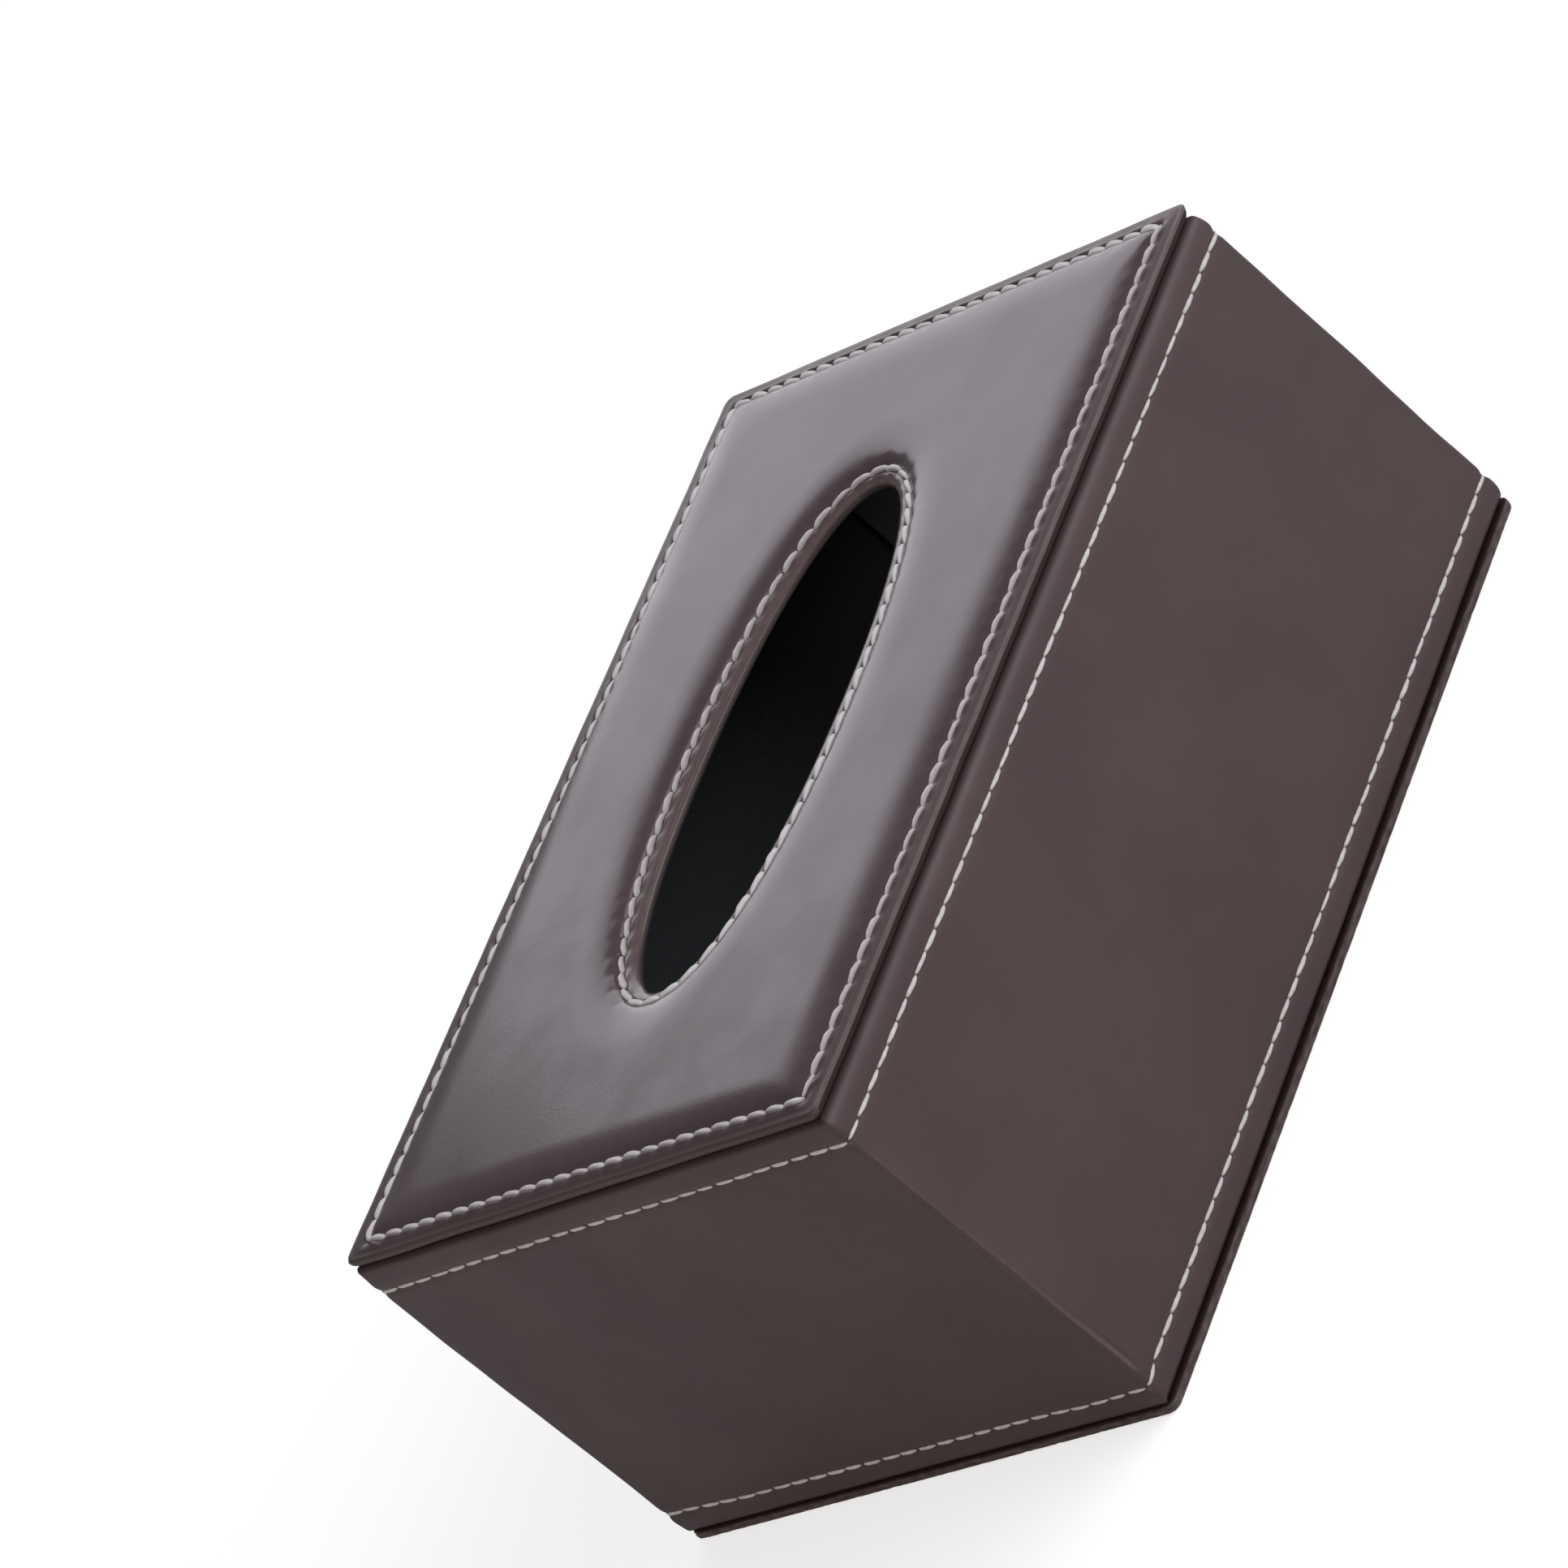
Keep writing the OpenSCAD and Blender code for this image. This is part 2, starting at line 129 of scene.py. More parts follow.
class Columns:
    """Columns round the box, counted from the right-hand end, with each one's turn on the mouth."""

    # Columns near a corner: the first, the last and their spacing, as distances from it
    NEAR_CORNER = (0.25, 4.0, 0.3)
    # Half the turn on the mouth, in degrees, that a side takes, and the turn that a corner takes
    HALF_SIDE_TURN = 44
    CORNER_TURN = 2

    def __init__(self, step, corner_steps):
        reach, normal, turn, corners = [], [], [], []
        for k in range(4):
            a = math.radians(90 * k)
            n = np.array([math.cos(a), math.sin(a)])
            t = np.array([-n[1], n[0]])
            half = abs(HALF @ t)
            close = np.arange(*self.NEAR_CORNER) / half
            even = np.linspace(-1, 1, 2 * round(half / step) + 1)
            shares = np.concatenate([even, close - 1, 1 - close])
            for f in np.unique(np.round(shares, 6)):
                reach.append(n + f * t)
                normal.append(n)
                turn.append(90 * k + self.HALF_SIDE_TURN * f)
            for j in range(1, corner_steps):
                share = j / corner_steps
                b = a + share * math.pi / 2
                reach.append(n + t)
                normal.append([math.cos(b), math.sin(b)])
                turn.append(90 * k + self.HALF_SIDE_TURN + self.CORNER_TURN * share)
                if 2 * j == corner_steps:
                    corners.append(len(reach) - 1)
        self.reach = np.array(reach)
        self.normal = np.array(normal)
        self.turn = np.radians(turn)
        self.corners = corners
        self.count = len(reach)

    def edge(self, inset, radius):
        """Points of round-cornered outlines, each at an inset from the box, or at one for x and one for y."""
        inset, radius = pairs(inset), pairs(radius)
        return self.reach * (HALF - inset - radius) + self.normal * radius

    def wavy_edge(self, inset, radius):
        """Points of round-cornered outlines that have an inset of its own for every point."""
        inset, radius = inset[..., None], radius[:, None, None]
        return self.reach * (HALF - inset - radius) + self.normal * radius

    def oval(self, power):
        """Cosine and sine of each turn, raised to a power with their signs kept."""
        c, s = np.cos(self.turn), np.sin(self.turn)
        return np.stack([np.sign(c) * np.abs(c) ** power, np.sign(s) * np.abs(s) ** power], -1)

    def mouth(self, out):
        """Points of outlines, each at a distance outside the edge of the mouth."""
        return self.oval(2 / MOUTH_POWER) * (MOUTH + pairs(out))

    def mouth_normal(self):
        """Directions out of the mouth, square to its edge."""
        return unit(self.oval(2 - 2 / MOUTH_POWER) / MOUTH)


class Line:
    """A closed line on a skin, which carries a row of stitches."""

    def __init__(self, points, normals, sides):
        self.rows = np.concatenate([points, normals, sides], 1)
        self.rows = np.concatenate([self.rows, self.rows[:1]])
        steps = np.linalg.norm(np.diff(self.rows[:, :3], axis=0), axis=1)
        self.s = np.concatenate([[0], np.cumsum(steps)])
        self.length = self.s[-1]

    def at(self, s):
        """Points, normals and directions to the side at distances s along the line."""
        s = np.mod(s, self.length)
        out = [np.interp(s, self.s, self.rows[:, k]) for k in range(9)]
        points, normals, sides = (np.stack(out[k:k + 3], -1) for k in (0, 3, 6))
        return points, unit(normals), unit(sides)


def cornered_holes(line, corners, counts):
    """Places of the needle holes along a line, with one hole at every corner."""
    marks = [line.s[c] for c in corners]
    marks.append(marks[0] + line.length)
    return np.concatenate([np.linspace(start, end, count + 1)[:-1]
                           for start, end, count in zip(marks, marks[1:], counts)])


def ripple(a, b, size, seed):
    """Gentle unevenness between -1 and 1 over two coordinates, with swells of about the given size."""
    rng = np.random.default_rng(seed)
    total = 0
    for _ in range(6):
        way = rng.uniform(0, 2 * math.pi)
        stretch = rng.uniform(0.6, 1.6)
        phase = rng.uniform(0, 2 * math.pi)
        run = a * math.cos(way) + b * math.sin(way)
        total = total + np.sin(2 * math.pi * stretch * run / size + phase)
    return total / 3.2


def swell(x):
    """Smooth step from 0 to 1."""
    x = np.clip(x, 0, 1)
    return x * x * (3 - 2 * x)


def bell(x, width):
    """Smooth bump of height 1 round 0."""
    return np.exp(-(x / width) ** 2)


# Meshes

def add_object(name, data):
    piece = bpy.data.objects.new(name, data)
    scene.collection.objects.link(piece)
    return piece


def add_mesh(name, points, faces, body, material):
    """A smooth piece from points in millimetres. It rides on no body if it is blended between two."""
    mesh = bpy.data.meshes.new(name)
    mesh.from_pydata((np.asarray(points, float) * MM).tolist(), [], faces)
    mesh.validate()
    mesh.polygons.foreach_set("use_smooth", [True] * len(mesh.polygons))
    mesh.materials.append(material)
    piece = add_object(name, mesh)
    if body:
        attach(piece, body)
    return piece


def volume_of(points, quads):
    """Volume inside faces of four points, which is negative if they look inwards."""
    a, b, c, d = (points[quads[:, k]] for k in range(4))
    return float((a * (np.cross(b, c) + np.cross(c, d))).sum() / 6)


def tube_faces(rows, columns):
    """Faces between rows of points. Each row is a closed ring, and the last row joins the first."""
    j = np.arange(rows)[:, None]
    i = np.arange(columns)[None, :]
    k, l = (j + 1) % rows, (i + 1) % columns
    quads = np.stack([j * columns + i, j * columns + l, k * columns + l, k * columns + i], -1)
    return quads.reshape(-1, 4)


def add_skin(name, rows, body, material, gap=None):
    """A closed skin over rows of points, turned so that its faces look outwards. With a gap it has no ring of
    faces after the row of that number, and a cap on each side of the gap instead."""
    count, columns = rows.shape[:2]
    points = rows.reshape(-1, 3)
    quads = tube_faces(count, columns)
    caps = []
    if gap is not None:
        quads = quads[quads[:, 0] // columns != gap]
        before, after = gap * columns, (gap + 1) % count * columns
        caps = [list(range(after, after + columns))[::-1], list(range(before, before + columns))]
    faces = quads.tolist() + caps
    if volume_of(points, quads) < 0:
        faces = [face[::-1] for face in faces]
    return add_mesh(name, points, faces, body, material)


def mark(piece, name, values):
    """Keeps one number for each point of a piece, which its material reads."""
    attribute = piece.data.attributes.new(name, "FLOAT", "POINT")
    attribute.data.foreach_set("value", np.asarray(values, np.float32).ravel())


def add_thread(name, line, holes, seed, width, height, lift, lean,
               blunt=0.0, dive=0.5, tip=0.38, rings=15, sides=12):
    """A row of stitches, each one a twisted strand that dives into a needle hole at both ends. It lies askew by
    lean, stands off the leather by lift, and its ends sink by dive and thin to a share of tip. A blunt stitch
    stays fat up to the next hole, its whole strand is paler as painted light, and its outer flank is painted
    shade."""
    rng = np.random.default_rng(seed)
    count = len(holes)
    starts = holes + rng.uniform(-0.05, 0.2, count)
    ends = np.append(holes[1:], holes[0] + line.length) - rng.uniform(-0.05, 0.2, count) + 0.25 * blunt
    # Along the left-hand end the stitches are thinner and sunk deeper, and on the wall they lie further apart
    sunk = swell((2 - HALF[0] + 6 * blunt - line.at(starts)[0][:, 0]) / 2)
    ends -= (1 - blunt) * sunk * rng.uniform(0.3, 1.0, count)
    t = np.linspace(0, 1, rings)
    s = starts[:, None] + (ends - starts)[:, None] * t
    place, normal, side = line.at(s)
    wide = rng.uniform(0.84, 1.12, (count, 1)) * (1 - 0.12 * sunk[:, None])
    tilt = lean * rng.uniform(0.75, 1.25, (count, 1)) * (1 - 2 * t)
    drift = rng.uniform(-0.08, 0.08, (count, 1))
    rise = np.sin(math.pi * t) ** 0.4 * (lift * (1 - 0.4 * sunk[:, None]) + dive) - dive
    centre = place + side * (tilt + drift)[..., None] + normal * (rise * wide)[..., None]
    way = unit(np.gradient(centre, axis=1))
    up = np.cross(way, side)
    up = unit(up * np.sign((up * normal).sum(-1, keepdims=True)))
    across = np.cross(up, way)
    fat = tip + (1 - tip) * np.sin(math.pi * (1 - t) ** (1 - 0.35 * blunt)) ** (0.55 - 0.1 * blunt)
    turn = np.linspace(0, 2 * math.pi, sides, endpoint=False)
    twist = rng.uniform(0, 2 * math.pi, (count, 1, 1)) + 4.2 * t[None, :, None]
    ply = 1 + 0.07 * np.cos(3 * (turn[None, None, :] + twist))
    reach = (wide * fat)[..., None] * ply
    points = (centre[:, :, None, :]
              + across[:, :, None, :] * (reach * np.cos(turn) * width / 2)[..., None]
              + up[:, :, None, :] * (reach * np.sin(turn) * height / 2)[..., None])
    one = tube_faces(rings, sides)[:-sides]
    caps = [list(range(sides))[::-1], list(range((rings - 1) * sides, rings * sides))]
    faces = []
    for base in range(0, count * rings * sides, rings * sides):
        faces += (one + base).tolist() + [[v + base for v in cap] for cap in caps]
    piece = add_mesh(name, points.reshape(-1, 3), faces, "cover", thread_mat)
    mark(piece, "along", np.broadcast_to(t[None, :, None], (count, rings, sides)))
    # Painted shade on the outer flank of a blunt stitch, and painted light over all of it
    outwards = np.cos(turn) * np.sign((across * side).sum(-1))[..., None]
    mark(piece, "painted_flank_shade", blunt * swell((outwards + 0.1) / 1.1))
    mark(piece, "painted_light", np.full(points.shape[:3], blunt))


# Materials

class Graph:
    """Builds one material's nodes."""

    def __init__(self, name):
        self.material = bpy.data.materials.new(name)
        self.material.use_nodes = True
        self.nodes = self.material.node_tree.nodes
        self.links = self.material.node_tree.links
        self.shader = self.nodes["Principled BSDF"]
        self.place = self.add("ShaderNodeTexCoord").outputs["Object"]

    def add(self, kind, settings=(), **inputs):
        node = self.nodes.new(kind)
        for key, value in dict(settings).items():
            setattr(node, key, value)
        for key, value in inputs.items():
            self.set(node.inputs[key.replace("_", " ")], value)
        return node

    def set(self, socket, value):
        if isinstance(value, bpy.types.NodeSocket):
            self.links.new(value, socket)
        else:
            socket.default_value = value

    def noise(self, scale, detail=3.0, place=None):
        node = self.add("ShaderNodeTexNoise", Vector=place or self.place, Scale=scale, Detail=detail)
        return node.outputs["Fac"]

    def math(self, operation, a, b=0.0):
        node = self.add("ShaderNodeMath", {"operation": operation})
        self.set(node.inputs[0], a)
        self.set(node.inputs[1], b)
        return node.outputs[0]

    def ramp(self, value, low, high, to_low=0.0, to_high=1.0):
        """Smooth step of a value between two limits, from one result to another."""
        node = self.add("ShaderNodeMapRange", {"interpolation_type": "SMOOTHSTEP"})
        for key, v in (("Value", value), ("From Min", low), ("From Max", high),
                       ("To Min", to_low), ("To Max", to_high)):
            self.set(node.inputs[key], v)
        return node.outputs["Result"]

    def mix(self, share, a, b):
        """Mix of two colours."""
        node = self.add("ShaderNodeMix", {"data_type": "RGBA"})
        sockets = [s for s in node.inputs if s.type == "RGBA"]
        factor = [s for s in node.inputs if s.type == "VALUE"][0]
        self.set(factor, share)
        for socket, value in zip(sockets, (a, b)):
            self.set(socket, value if isinstance(value, bpy.types.NodeSocket) else (*value, 1.0))
        return [s for s in node.outputs if s.type == "RGBA"][0]

    def bump(self, height, depth_mm, below=None):
        """Relief of a height from 0 to 1, on top of another relief."""
        node = self.add("ShaderNodeBump", Height=height, Distance=depth_mm * MM, Strength=1.0)
        if below is not None:
            self.links.new(below, node.inputs["Normal"])
        return node.outputs["Normal"]

    def attribute(self, name):
        """Number that mark() keeps for each point of a piece."""
        return self.add("ShaderNodeAttribute", {"attribute_name": name}).outputs["Fac"]

    def finish(self, color, roughness, normal=None, **constants):
        self.set(self.shader.inputs["Base Color"], color)
        self.set(self.shader.inputs["Roughness"], roughness)
        if normal is not None:
            self.links.new(normal, self.shader.inputs["Normal"])
        for key, value in constants.items():
            self.shader.inputs[key.replace("_", " ")].default_value = value
        return self.material


def leather(name, deep, light, worn_and_highlight, rough, grain=0.006, specular=0.5):
    """Smooth semi-gloss brown leather with a fine grain. It is paler where a piece marks wear and painted
    highlight, along folds, ridges and lips, and darker and duller where a piece marks painted shade, in
    grooves."""
    g = Graph(name)
    cloud = g.noise(26.0, 4.0)
    mottle = g.noise(240.0, 3.0)
    tone = g.mix(g.ramp(cloud, 0.34, 0.66), deep, light)
    tone = g.mix(g.ramp(mottle, 0.35, 0.75, 0.0, 0.12), tone, [v * 0.75 for v in deep])
    # Paler where a piece marks wear and painted highlight
    wear_and_highlight = g.math("MULTIPLY", g.attribute("wear_and_highlight"), g.ramp(g.noise(420.0, 3.0), 0.25, 0.7, 0.55, 1.0))
    tone = g.mix(wear_and_highlight, tone, worn_and_highlight)
    # Painted shade: darker and duller where a piece marks it, in grooves and under lips
    painted_shade = g.attribute("painted_shade")
    tone = g.mix(painted_shade, tone, [v * share for v, share in zip(deep, (0.38, 0.28, 0.28))])
    cells = g.add("ShaderNodeTexVoronoi", Vector=g.place, Scale=1500.0).outputs["Distance"]
    pores = g.noise(5200.0, 2.0)
    normal = g.bump(pores, grain * 0.4, g.bump(cells, grain))
    gloss = g.ramp(g.noise(60.0, 4.0), 0.3, 0.7, rough - 0.03, rough + 0.04)
    gloss = g.math("ADD", gloss, g.math("MULTIPLY", painted_shade, 0.35))
    return g.finish(tone, gloss, normal, IOR=1.5, Specular_IOR_Level=specular)


def thread_material():
    """Pale waxed thread, with painted shade at each stitch's ends and on a blunt stitch's outer flank, and
    painted light on blunt stitches.
    """
    g = Graph("waxed_thread")
    tone = g.mix(g.ramp(g.noise(700.0, 2.0), 0.3, 0.7), (0.66, 0.64, 0.63), (0.78, 0.76, 0.75))
    # Painted shade at both ends of each stitch, where it dives into its needle hole
    ends = g.ramp(g.math("ABSOLUTE", g.math("SUBTRACT", g.attribute("along"), 0.5)), 0.36, 0.5)
    tone = g.mix(g.math("MULTIPLY", ends, 0.45), tone, (0.30, 0.27, 0.26))
    # Painted light over the blunt stitches of the top, and painted shade on their outer flank
    tone = g.mix(g.math("MULTIPLY", g.attribute("painted_light"), 0.7), tone, (0.93, 0.91, 0.94))
    tone = g.mix(g.math("MULTIPLY", g.attribute("painted_flank_shade"), 0.7), tone, (0.24, 0.205, 0.21))
    fibre = g.noise(9000.0, 2.0)
    return g.finish(tone, 0.5, g.bump(fibre, 0.03), Sheen_Weight=0.15, Sheen_Roughness=0.5)


def cloth(name, dark, light):
    """Brushed lining cloth with a fine plain weave."""
    g = Graph(name)
    parts = g.add("ShaderNodeSeparateXYZ", Vector=g.place).outputs
    along = g.math("ADD", parts["X"], parts["Y"])
    across = g.math("SUBTRACT", parts["Z"], parts["Y"])
    turns = 2 * math.pi / (0.45 * MM)
    warp, weft = (g.math("SINE", g.math("MULTIPLY", run, turns)) for run in (along, across))
    weave = g.math("MULTIPLY", warp, weft)
    nap = g.noise(3000.0, 3.0)
    tone = g.mix(g.ramp(nap, 0.3, 0.7), dark, light)
    normal = g.bump(nap, 0.05, g.bump(weave, 0.03))
    return g.finish(tone, 0.85, normal, Sheen_Weight=0.25, Sheen_Roughness=0.6, Specular_IOR_Level=0.2)


def fibreboard():
    """Raw fibreboard with fine flecks."""
    g = Graph("raw_fibreboard")
    flecks = g.noise(2600.0, 4.0)
    tone = g.mix(g.ramp(flecks, 0.35, 0.65), (0.36, 0.26, 0.16), (0.52, 0.40, 0.26))
    tone = g.mix(g.ramp(g.noise(30.0, 3.0), 0.3, 0.8, 0.0, 0.3), tone, (0.30, 0.22, 0.14))
    return g.finish(tone, 0.8, g.bump(flecks, 0.06))


def steel(name, tone):
    """Metal brushed along its length."""
    g = Graph(name)
    stretch = g.add("ShaderNodeMapping", Vector=g.place, Scale=(40.0, 3000.0, 3000.0)).outputs["Vector"]
    brush = g.noise(1.0, 4.0, stretch)
    color = g.mix(g.ramp(brush, 0.3, 0.7), [v * 0.85 for v in tone], tone)
    return g.finish(color, g.ramp(brush, 0.3, 0.7, 0.26, 0.4), g.bump(brush, 0.01), Metallic=1.0)


# Deep and light tone of each leather, and the paler tone where it is worn and where a highlight is painted
TOP_BROWN = (0.088, 0.0605, 0.0665), (0.100, 0.0700, 0.0770)
WALL_BROWN = (0.081, 0.0538, 0.0565), (0.093, 0.0622, 0.0650)
PLATE_BROWN = (0.070, 0.051, 0.049), (0.098, 0.074, 0.072)
# The facing's browns are darker than the wall's: painted shade inside the mouth
FACING_PAINTED_SHADE_BROWN = (0.050, 0.037, 0.038), (0.066, 0.050, 0.052)
WORN_AND_HIGHLIGHT = (0.190, 0.135, 0.125)
PLATE_WORN_AND_HIGHLIGHT = (0.17, 0.134, 0.128)

top_mat = leather("padded_leather", *TOP_BROWN, WORN_AND_HIGHLIGHT, 0.20)
wall_mat = leather("wall_leather", *WALL_BROWN, WORN_AND_HIGHLIGHT, 0.38, specular=0.42)
plate_mat = leather("plate_leather", *PLATE_BROWN, PLATE_WORN_AND_HIGHLIGHT, 0.44, grain=0.012, specular=0.08)
thin_mat = leather("thin_leather", *WALL_BROWN, WORN_AND_HIGHLIGHT, 0.38, specular=0.42)
facing_mat = leather("facing_leather", *FACING_PAINTED_SHADE_BROWN, WORN_AND_HIGHLIGHT, 0.5)
thread_mat = thread_material()
lining_mat = cloth("lining_cloth", (0.066, 0.074, 0.083), (0.105, 0.116, 0.130))
board_mat = fibreboard()
magnet_mat = steel("nickel", (0.60, 0.60, 0.62))
sheet_steel_mat = steel("sheet_steel", (0.50, 0.51, 0.53))


# Stitch lines

columns = Columns(0.55, 8)
# Share of each column on the left-hand end, whose lips and shoulder are smaller
LEFT_END = swell(-columns.normal[:, 0])
UP = np.array([0.0, 0.0, 1.0])


def flat_rows(xy, z):
    """Rows of points from rows of plan points and their heights, one for each row or one for each point."""
    z = np.broadcast_to(z[:, None] if z.ndim == 1 else z, xy.shape[:2])
    return np.concatenate([xy, z[..., None]], -1)


def raised(xy, z):
    """Plan points or directions with their heights."""
    return np.concatenate([xy, np.broadcast_to(z, (len(xy),))[:, None]], 1)


def level_line(xy, z, side):
    """A line on top of the box, whose stitches lie flat."""
    return Line(raised(xy, z), np.tile(UP, (len(xy), 1)), raised(side, 0.0))


def wall_line(inset, level):
    """A line round the wall, whose stitches stand on their edge."""
    xy = columns.edge(inset, WALL_CORNER_R)[0]
    return Line(raised(xy, level), raised(columns.normal, 0.0), np.tile(UP, (len(xy), 1)))


def edge_insets(d):
    """Insets from the ends and from the long sides. The row lies nearer to the ends than to the sides."""
    d = np.asarray(d, float)
    shift = 0.4 * swell(d / 4) * (1 - swell((d - 8) / 14))
    return np.stack([d - shift, d + shift], -1)


def mouth_insets(out):
    """Distances from the edge of the mouth at its ends and at its sides. The row lies nearer to its ends."""
    out = np.asarray(out, float)
    return np.stack([out - 1.5 * swell(out / 4.5) * (1 - swell((out - 6) / 9)), out], -1)


edge_xy = columns.edge(edge_insets([EDGE_ROW]), EDGE_ROW_R)[0]
edge_line = level_line(edge_xy, EDGE_LOW + 0.25, columns.normal)
edge_holes = cornered_holes(edge_line, columns.corners, (41, 25, 41, 25))

mouth_xy = columns.mouth(mouth_insets([MOUTH_ROW]))[0]
# The front left side of the mouth, where the row lies a little higher
MOUTH_FRONT = swell(-(columns.mouth_normal() @ np.array([0.45, 0.89])))
mouth_low = MOUTH_LOW + 0.3 * MOUTH_FRONT
mouth_line = level_line(mouth_xy, mouth_low + 0.2, -columns.mouth_normal())
mouth_holes = np.linspace(0, mouth_line.length, 57)[:-1] + 1.3

end_y = columns.edge(0.0, WALL_CORNER_R)[0][:, 1]
high_level = HIGH_ROW - 0.1 - LEFT_END * (0.25 + 0.6 * swell((end_y - 25) / 45))
high_line = wall_line(ROW_DIP, high_level)
high_holes = cornered_holes(high_line, columns.corners, (41, 26, 41, 26))


def low_row(xy):
    """Height of the lower row, which wanders a little and runs lower along the left-hand end."""
    end = swell((-HALF[0] + 7 - xy[..., 0]) / 7) * swell((HALF[1] - xy[..., 1]) / 30)
    dip = bell(xy[..., 1] + HALF[1] - 17, 11)
    return LOW_ROW - end * (1.0 + 0.55 * dip)


low_level = low_row(columns.edge(0.0, WALL_CORNER_R)[0])
low_line = wall_line(ROW_DIP, low_level)
low_holes = cornered_holes(low_line, columns.corners, (42, 26, 42, 26))


# Padded top leather, from the outer edge over the crown and into the mouth

def crown_rise(u, low, end=0.0, soft=0.0):
    """Heights of the crown at distances of u inside a stitch row, whose leather lies at low. The shoulder is
    shorter where end is 1, and rises more gently from the row where soft is 1."""
    u = np.asarray(u, float)[:, None]
    low, end, soft = (np.atleast_1d(v)[None, :] for v in (low, end, soft))
    far = 1.25 - 0.35 * end
    span = 12.5 - 3.5 * end
    start = 1 - np.exp(-u / (0.8 + 1.0 * soft))
    return low + (CROWN_Z - low - far) * start + far * (1 - (1 - np.clip(u / span, 0, 1)) ** 2.35)


def edge_radius(d):
    """Corner radius of the top's outline at an inset of d. It is smallest at the stitch row."""
    outside = np.maximum(CORNER_R - 0.15 * d, EDGE_ROW_R)
    return np.where(d < EDGE_ROW, outside, EDGE_ROW_R + 0.8 * (d - EDGE_ROW))


def pillow(xy):
    """Sag of the crown away from its middle, which gives the padding a faint dome."""
    x, y = xy[..., 0] / HALF[0], xy[..., 1] / HALF[1]
    return 0.16 * x ** 4 + 0.16 * y ** 4


def smooth_path(points, step=0.28):
    """A rounded path through points, cut into steps of about the same length."""
    points = np.array(points, float)
    fine = []
    padded = np.concatenate([2 * points[:1] - points[1:2], points, 2 * points[-1:] - points[-2:-1]])
    for a, b, c, d in zip(padded, padded[1:], padded[2:], padded[3:]):
        count = max(2, round(np.linalg.norm(c - b) / step))
        for t in np.arange(count) / count:
            fine.append(0.5 * (2 * b + (c - a) * t + (2 * a - 5 * b + 4 * c - d) * t ** 2
                               + (3 * b - a - 3 * c + d) * t ** 3))
    return np.array(fine + [points[-1]])


# Side of the padded top, as insets and levels: its hem, the lip over the groove, a thin ridge, and the rim that
# rises from it and falls to the stitch row
RIM_SIDE = smooth_path(
    [(FLAT_HEM, PANEL_LOW), (7.0, PANEL_LOW), (2.9, PANEL_LOW)]
    + [(inset, PANEL_LOW + rise) for inset, rise in (
        (2.2, 0.03), (1.5, 0.25), (1.0, 0.65), (0.65, 1.15), (0.45, 1.7))]
    + [(inset, RIDGE_Z + rise) for inset, rise in (
        (0.3, -0.4), (0.2, -0.05), (0.45, 0.16), (1.0, 0.24), (1.7, 0.46),
        (2.6, 0.64), (3.5, 0.68), (4.2, 0.56))]
    + [(4.7, EDGE_LOW + 0.35), (EDGE_ROW - 0.25, EDGE_LOW)])
# Rim of the mouth, from its stitch row over the edge
MOUTH_SIDE = smooth_path(
    [(MOUTH_ROW + 0.2, MOUTH_LOW)]
    + [(out, MOUTH_LOW + rise) for out, rise in (
        (4.2, 0.14), (3.2, 0.17), (2.1, 0.08), (1.2, -0.12), (0.6, -0.4), (0.2, -0.75))]
    + [(0.0, MOUTH_END)])


def top_rows():
    """Rows of the top leather's section, and how much of the sewing's dents each row that shows takes up."""
    u = np.concatenate([np.arange(0.1, 5.0, 0.3), np.arange(5.0, 11.0, 0.6), np.arange(11.0, 19.0, 1.2)])
    rows = np.concatenate([RIM_SIDE[:, 0], EDGE_ROW + u])
    levels = np.concatenate([np.tile(RIM_SIDE[:, 1:], columns.count), crown_rise(u, EDGE_LOW, LEFT_END)])
    outer = flat_rows(columns.edge(edge_insets(rows), edge_radius(rows)), levels)

    u = u[u < 12.5][::-1]
    out = np.concatenate([MOUTH_ROW + 0.3 + u, MOUTH_SIDE[:, 0]])
    lift = swell(MOUTH_SIDE[:, :1] / 3.0) * (mouth_low - MOUTH_LOW)
    level = np.concatenate([crown_rise(u, mouth_low, 0.0, MOUTH_FRONT), MOUTH_SIDE[:, 1:] + lift])
    inner = flat_rows(columns.mouth(mouth_insets(out)), level)

    share = swell(np.linspace(0, 1, 10)[1:-1])[:, None, None]
    between = outer[-1] * (1 - share) + inner[0] * share
    # The hidden side follows the board, from the mouth over its top and round its bevelled edge
    under_mouth = flat_rows(columns.mouth(np.array([INSIDE, INSIDE])),
                            np.array([MOUTH_END, TOP_BOARD_HIGH + SLIT]))
    under = np.array([[14.0, TOP_BOARD_HIGH + SLIT], [SKIN, TOP_BOARD_HIGH + SLIT],
                      [INSIDE, TOP_BOARD_HIGH], [INSIDE, TOP_BOARD_LOW + TOP_BEVEL - SLIT],
                      [INSIDE + TOP_BEVEL, TOP_BOARD_LOW - SLIT], [FLAT_HEM, TOP_BOARD_LOW - SLIT]])
    under_edge = flat_rows(columns.edge(under[:, 0], edge_radius(under[:, 0])), under[:, 1])
    soft = np.concatenate([swell((rows - 0.6) / 1.5), np.ones(len(between)), swell((out - 0.7) / 1.4)])
    return np.concatenate([outer, between, inner, under_mouth, under_edge]), soft


def dent(xy, centres, ways, deep, long_r, short_r):
    """Sum of soft oval dents in plan. Each is long_r along its own way and short_r across it."""
    total = np.zeros(len(xy))
    reach = 2.6 * max(long_r, short_r)
    for centre, way, size in zip(centres, ways, np.broadcast_to(deep, len(centres))):
        off = xy - centre
        near = (np.abs(off[:, 0]) < reach) & (np.abs(off[:, 1]) < reach)
        off = off[near]
        along = off @ way
        across = off @ np.array([-way[1], way[0]])
        total[near] += size * np.exp(-(along / long_r) ** 2 - (across / short_r) ** 2)
    return total


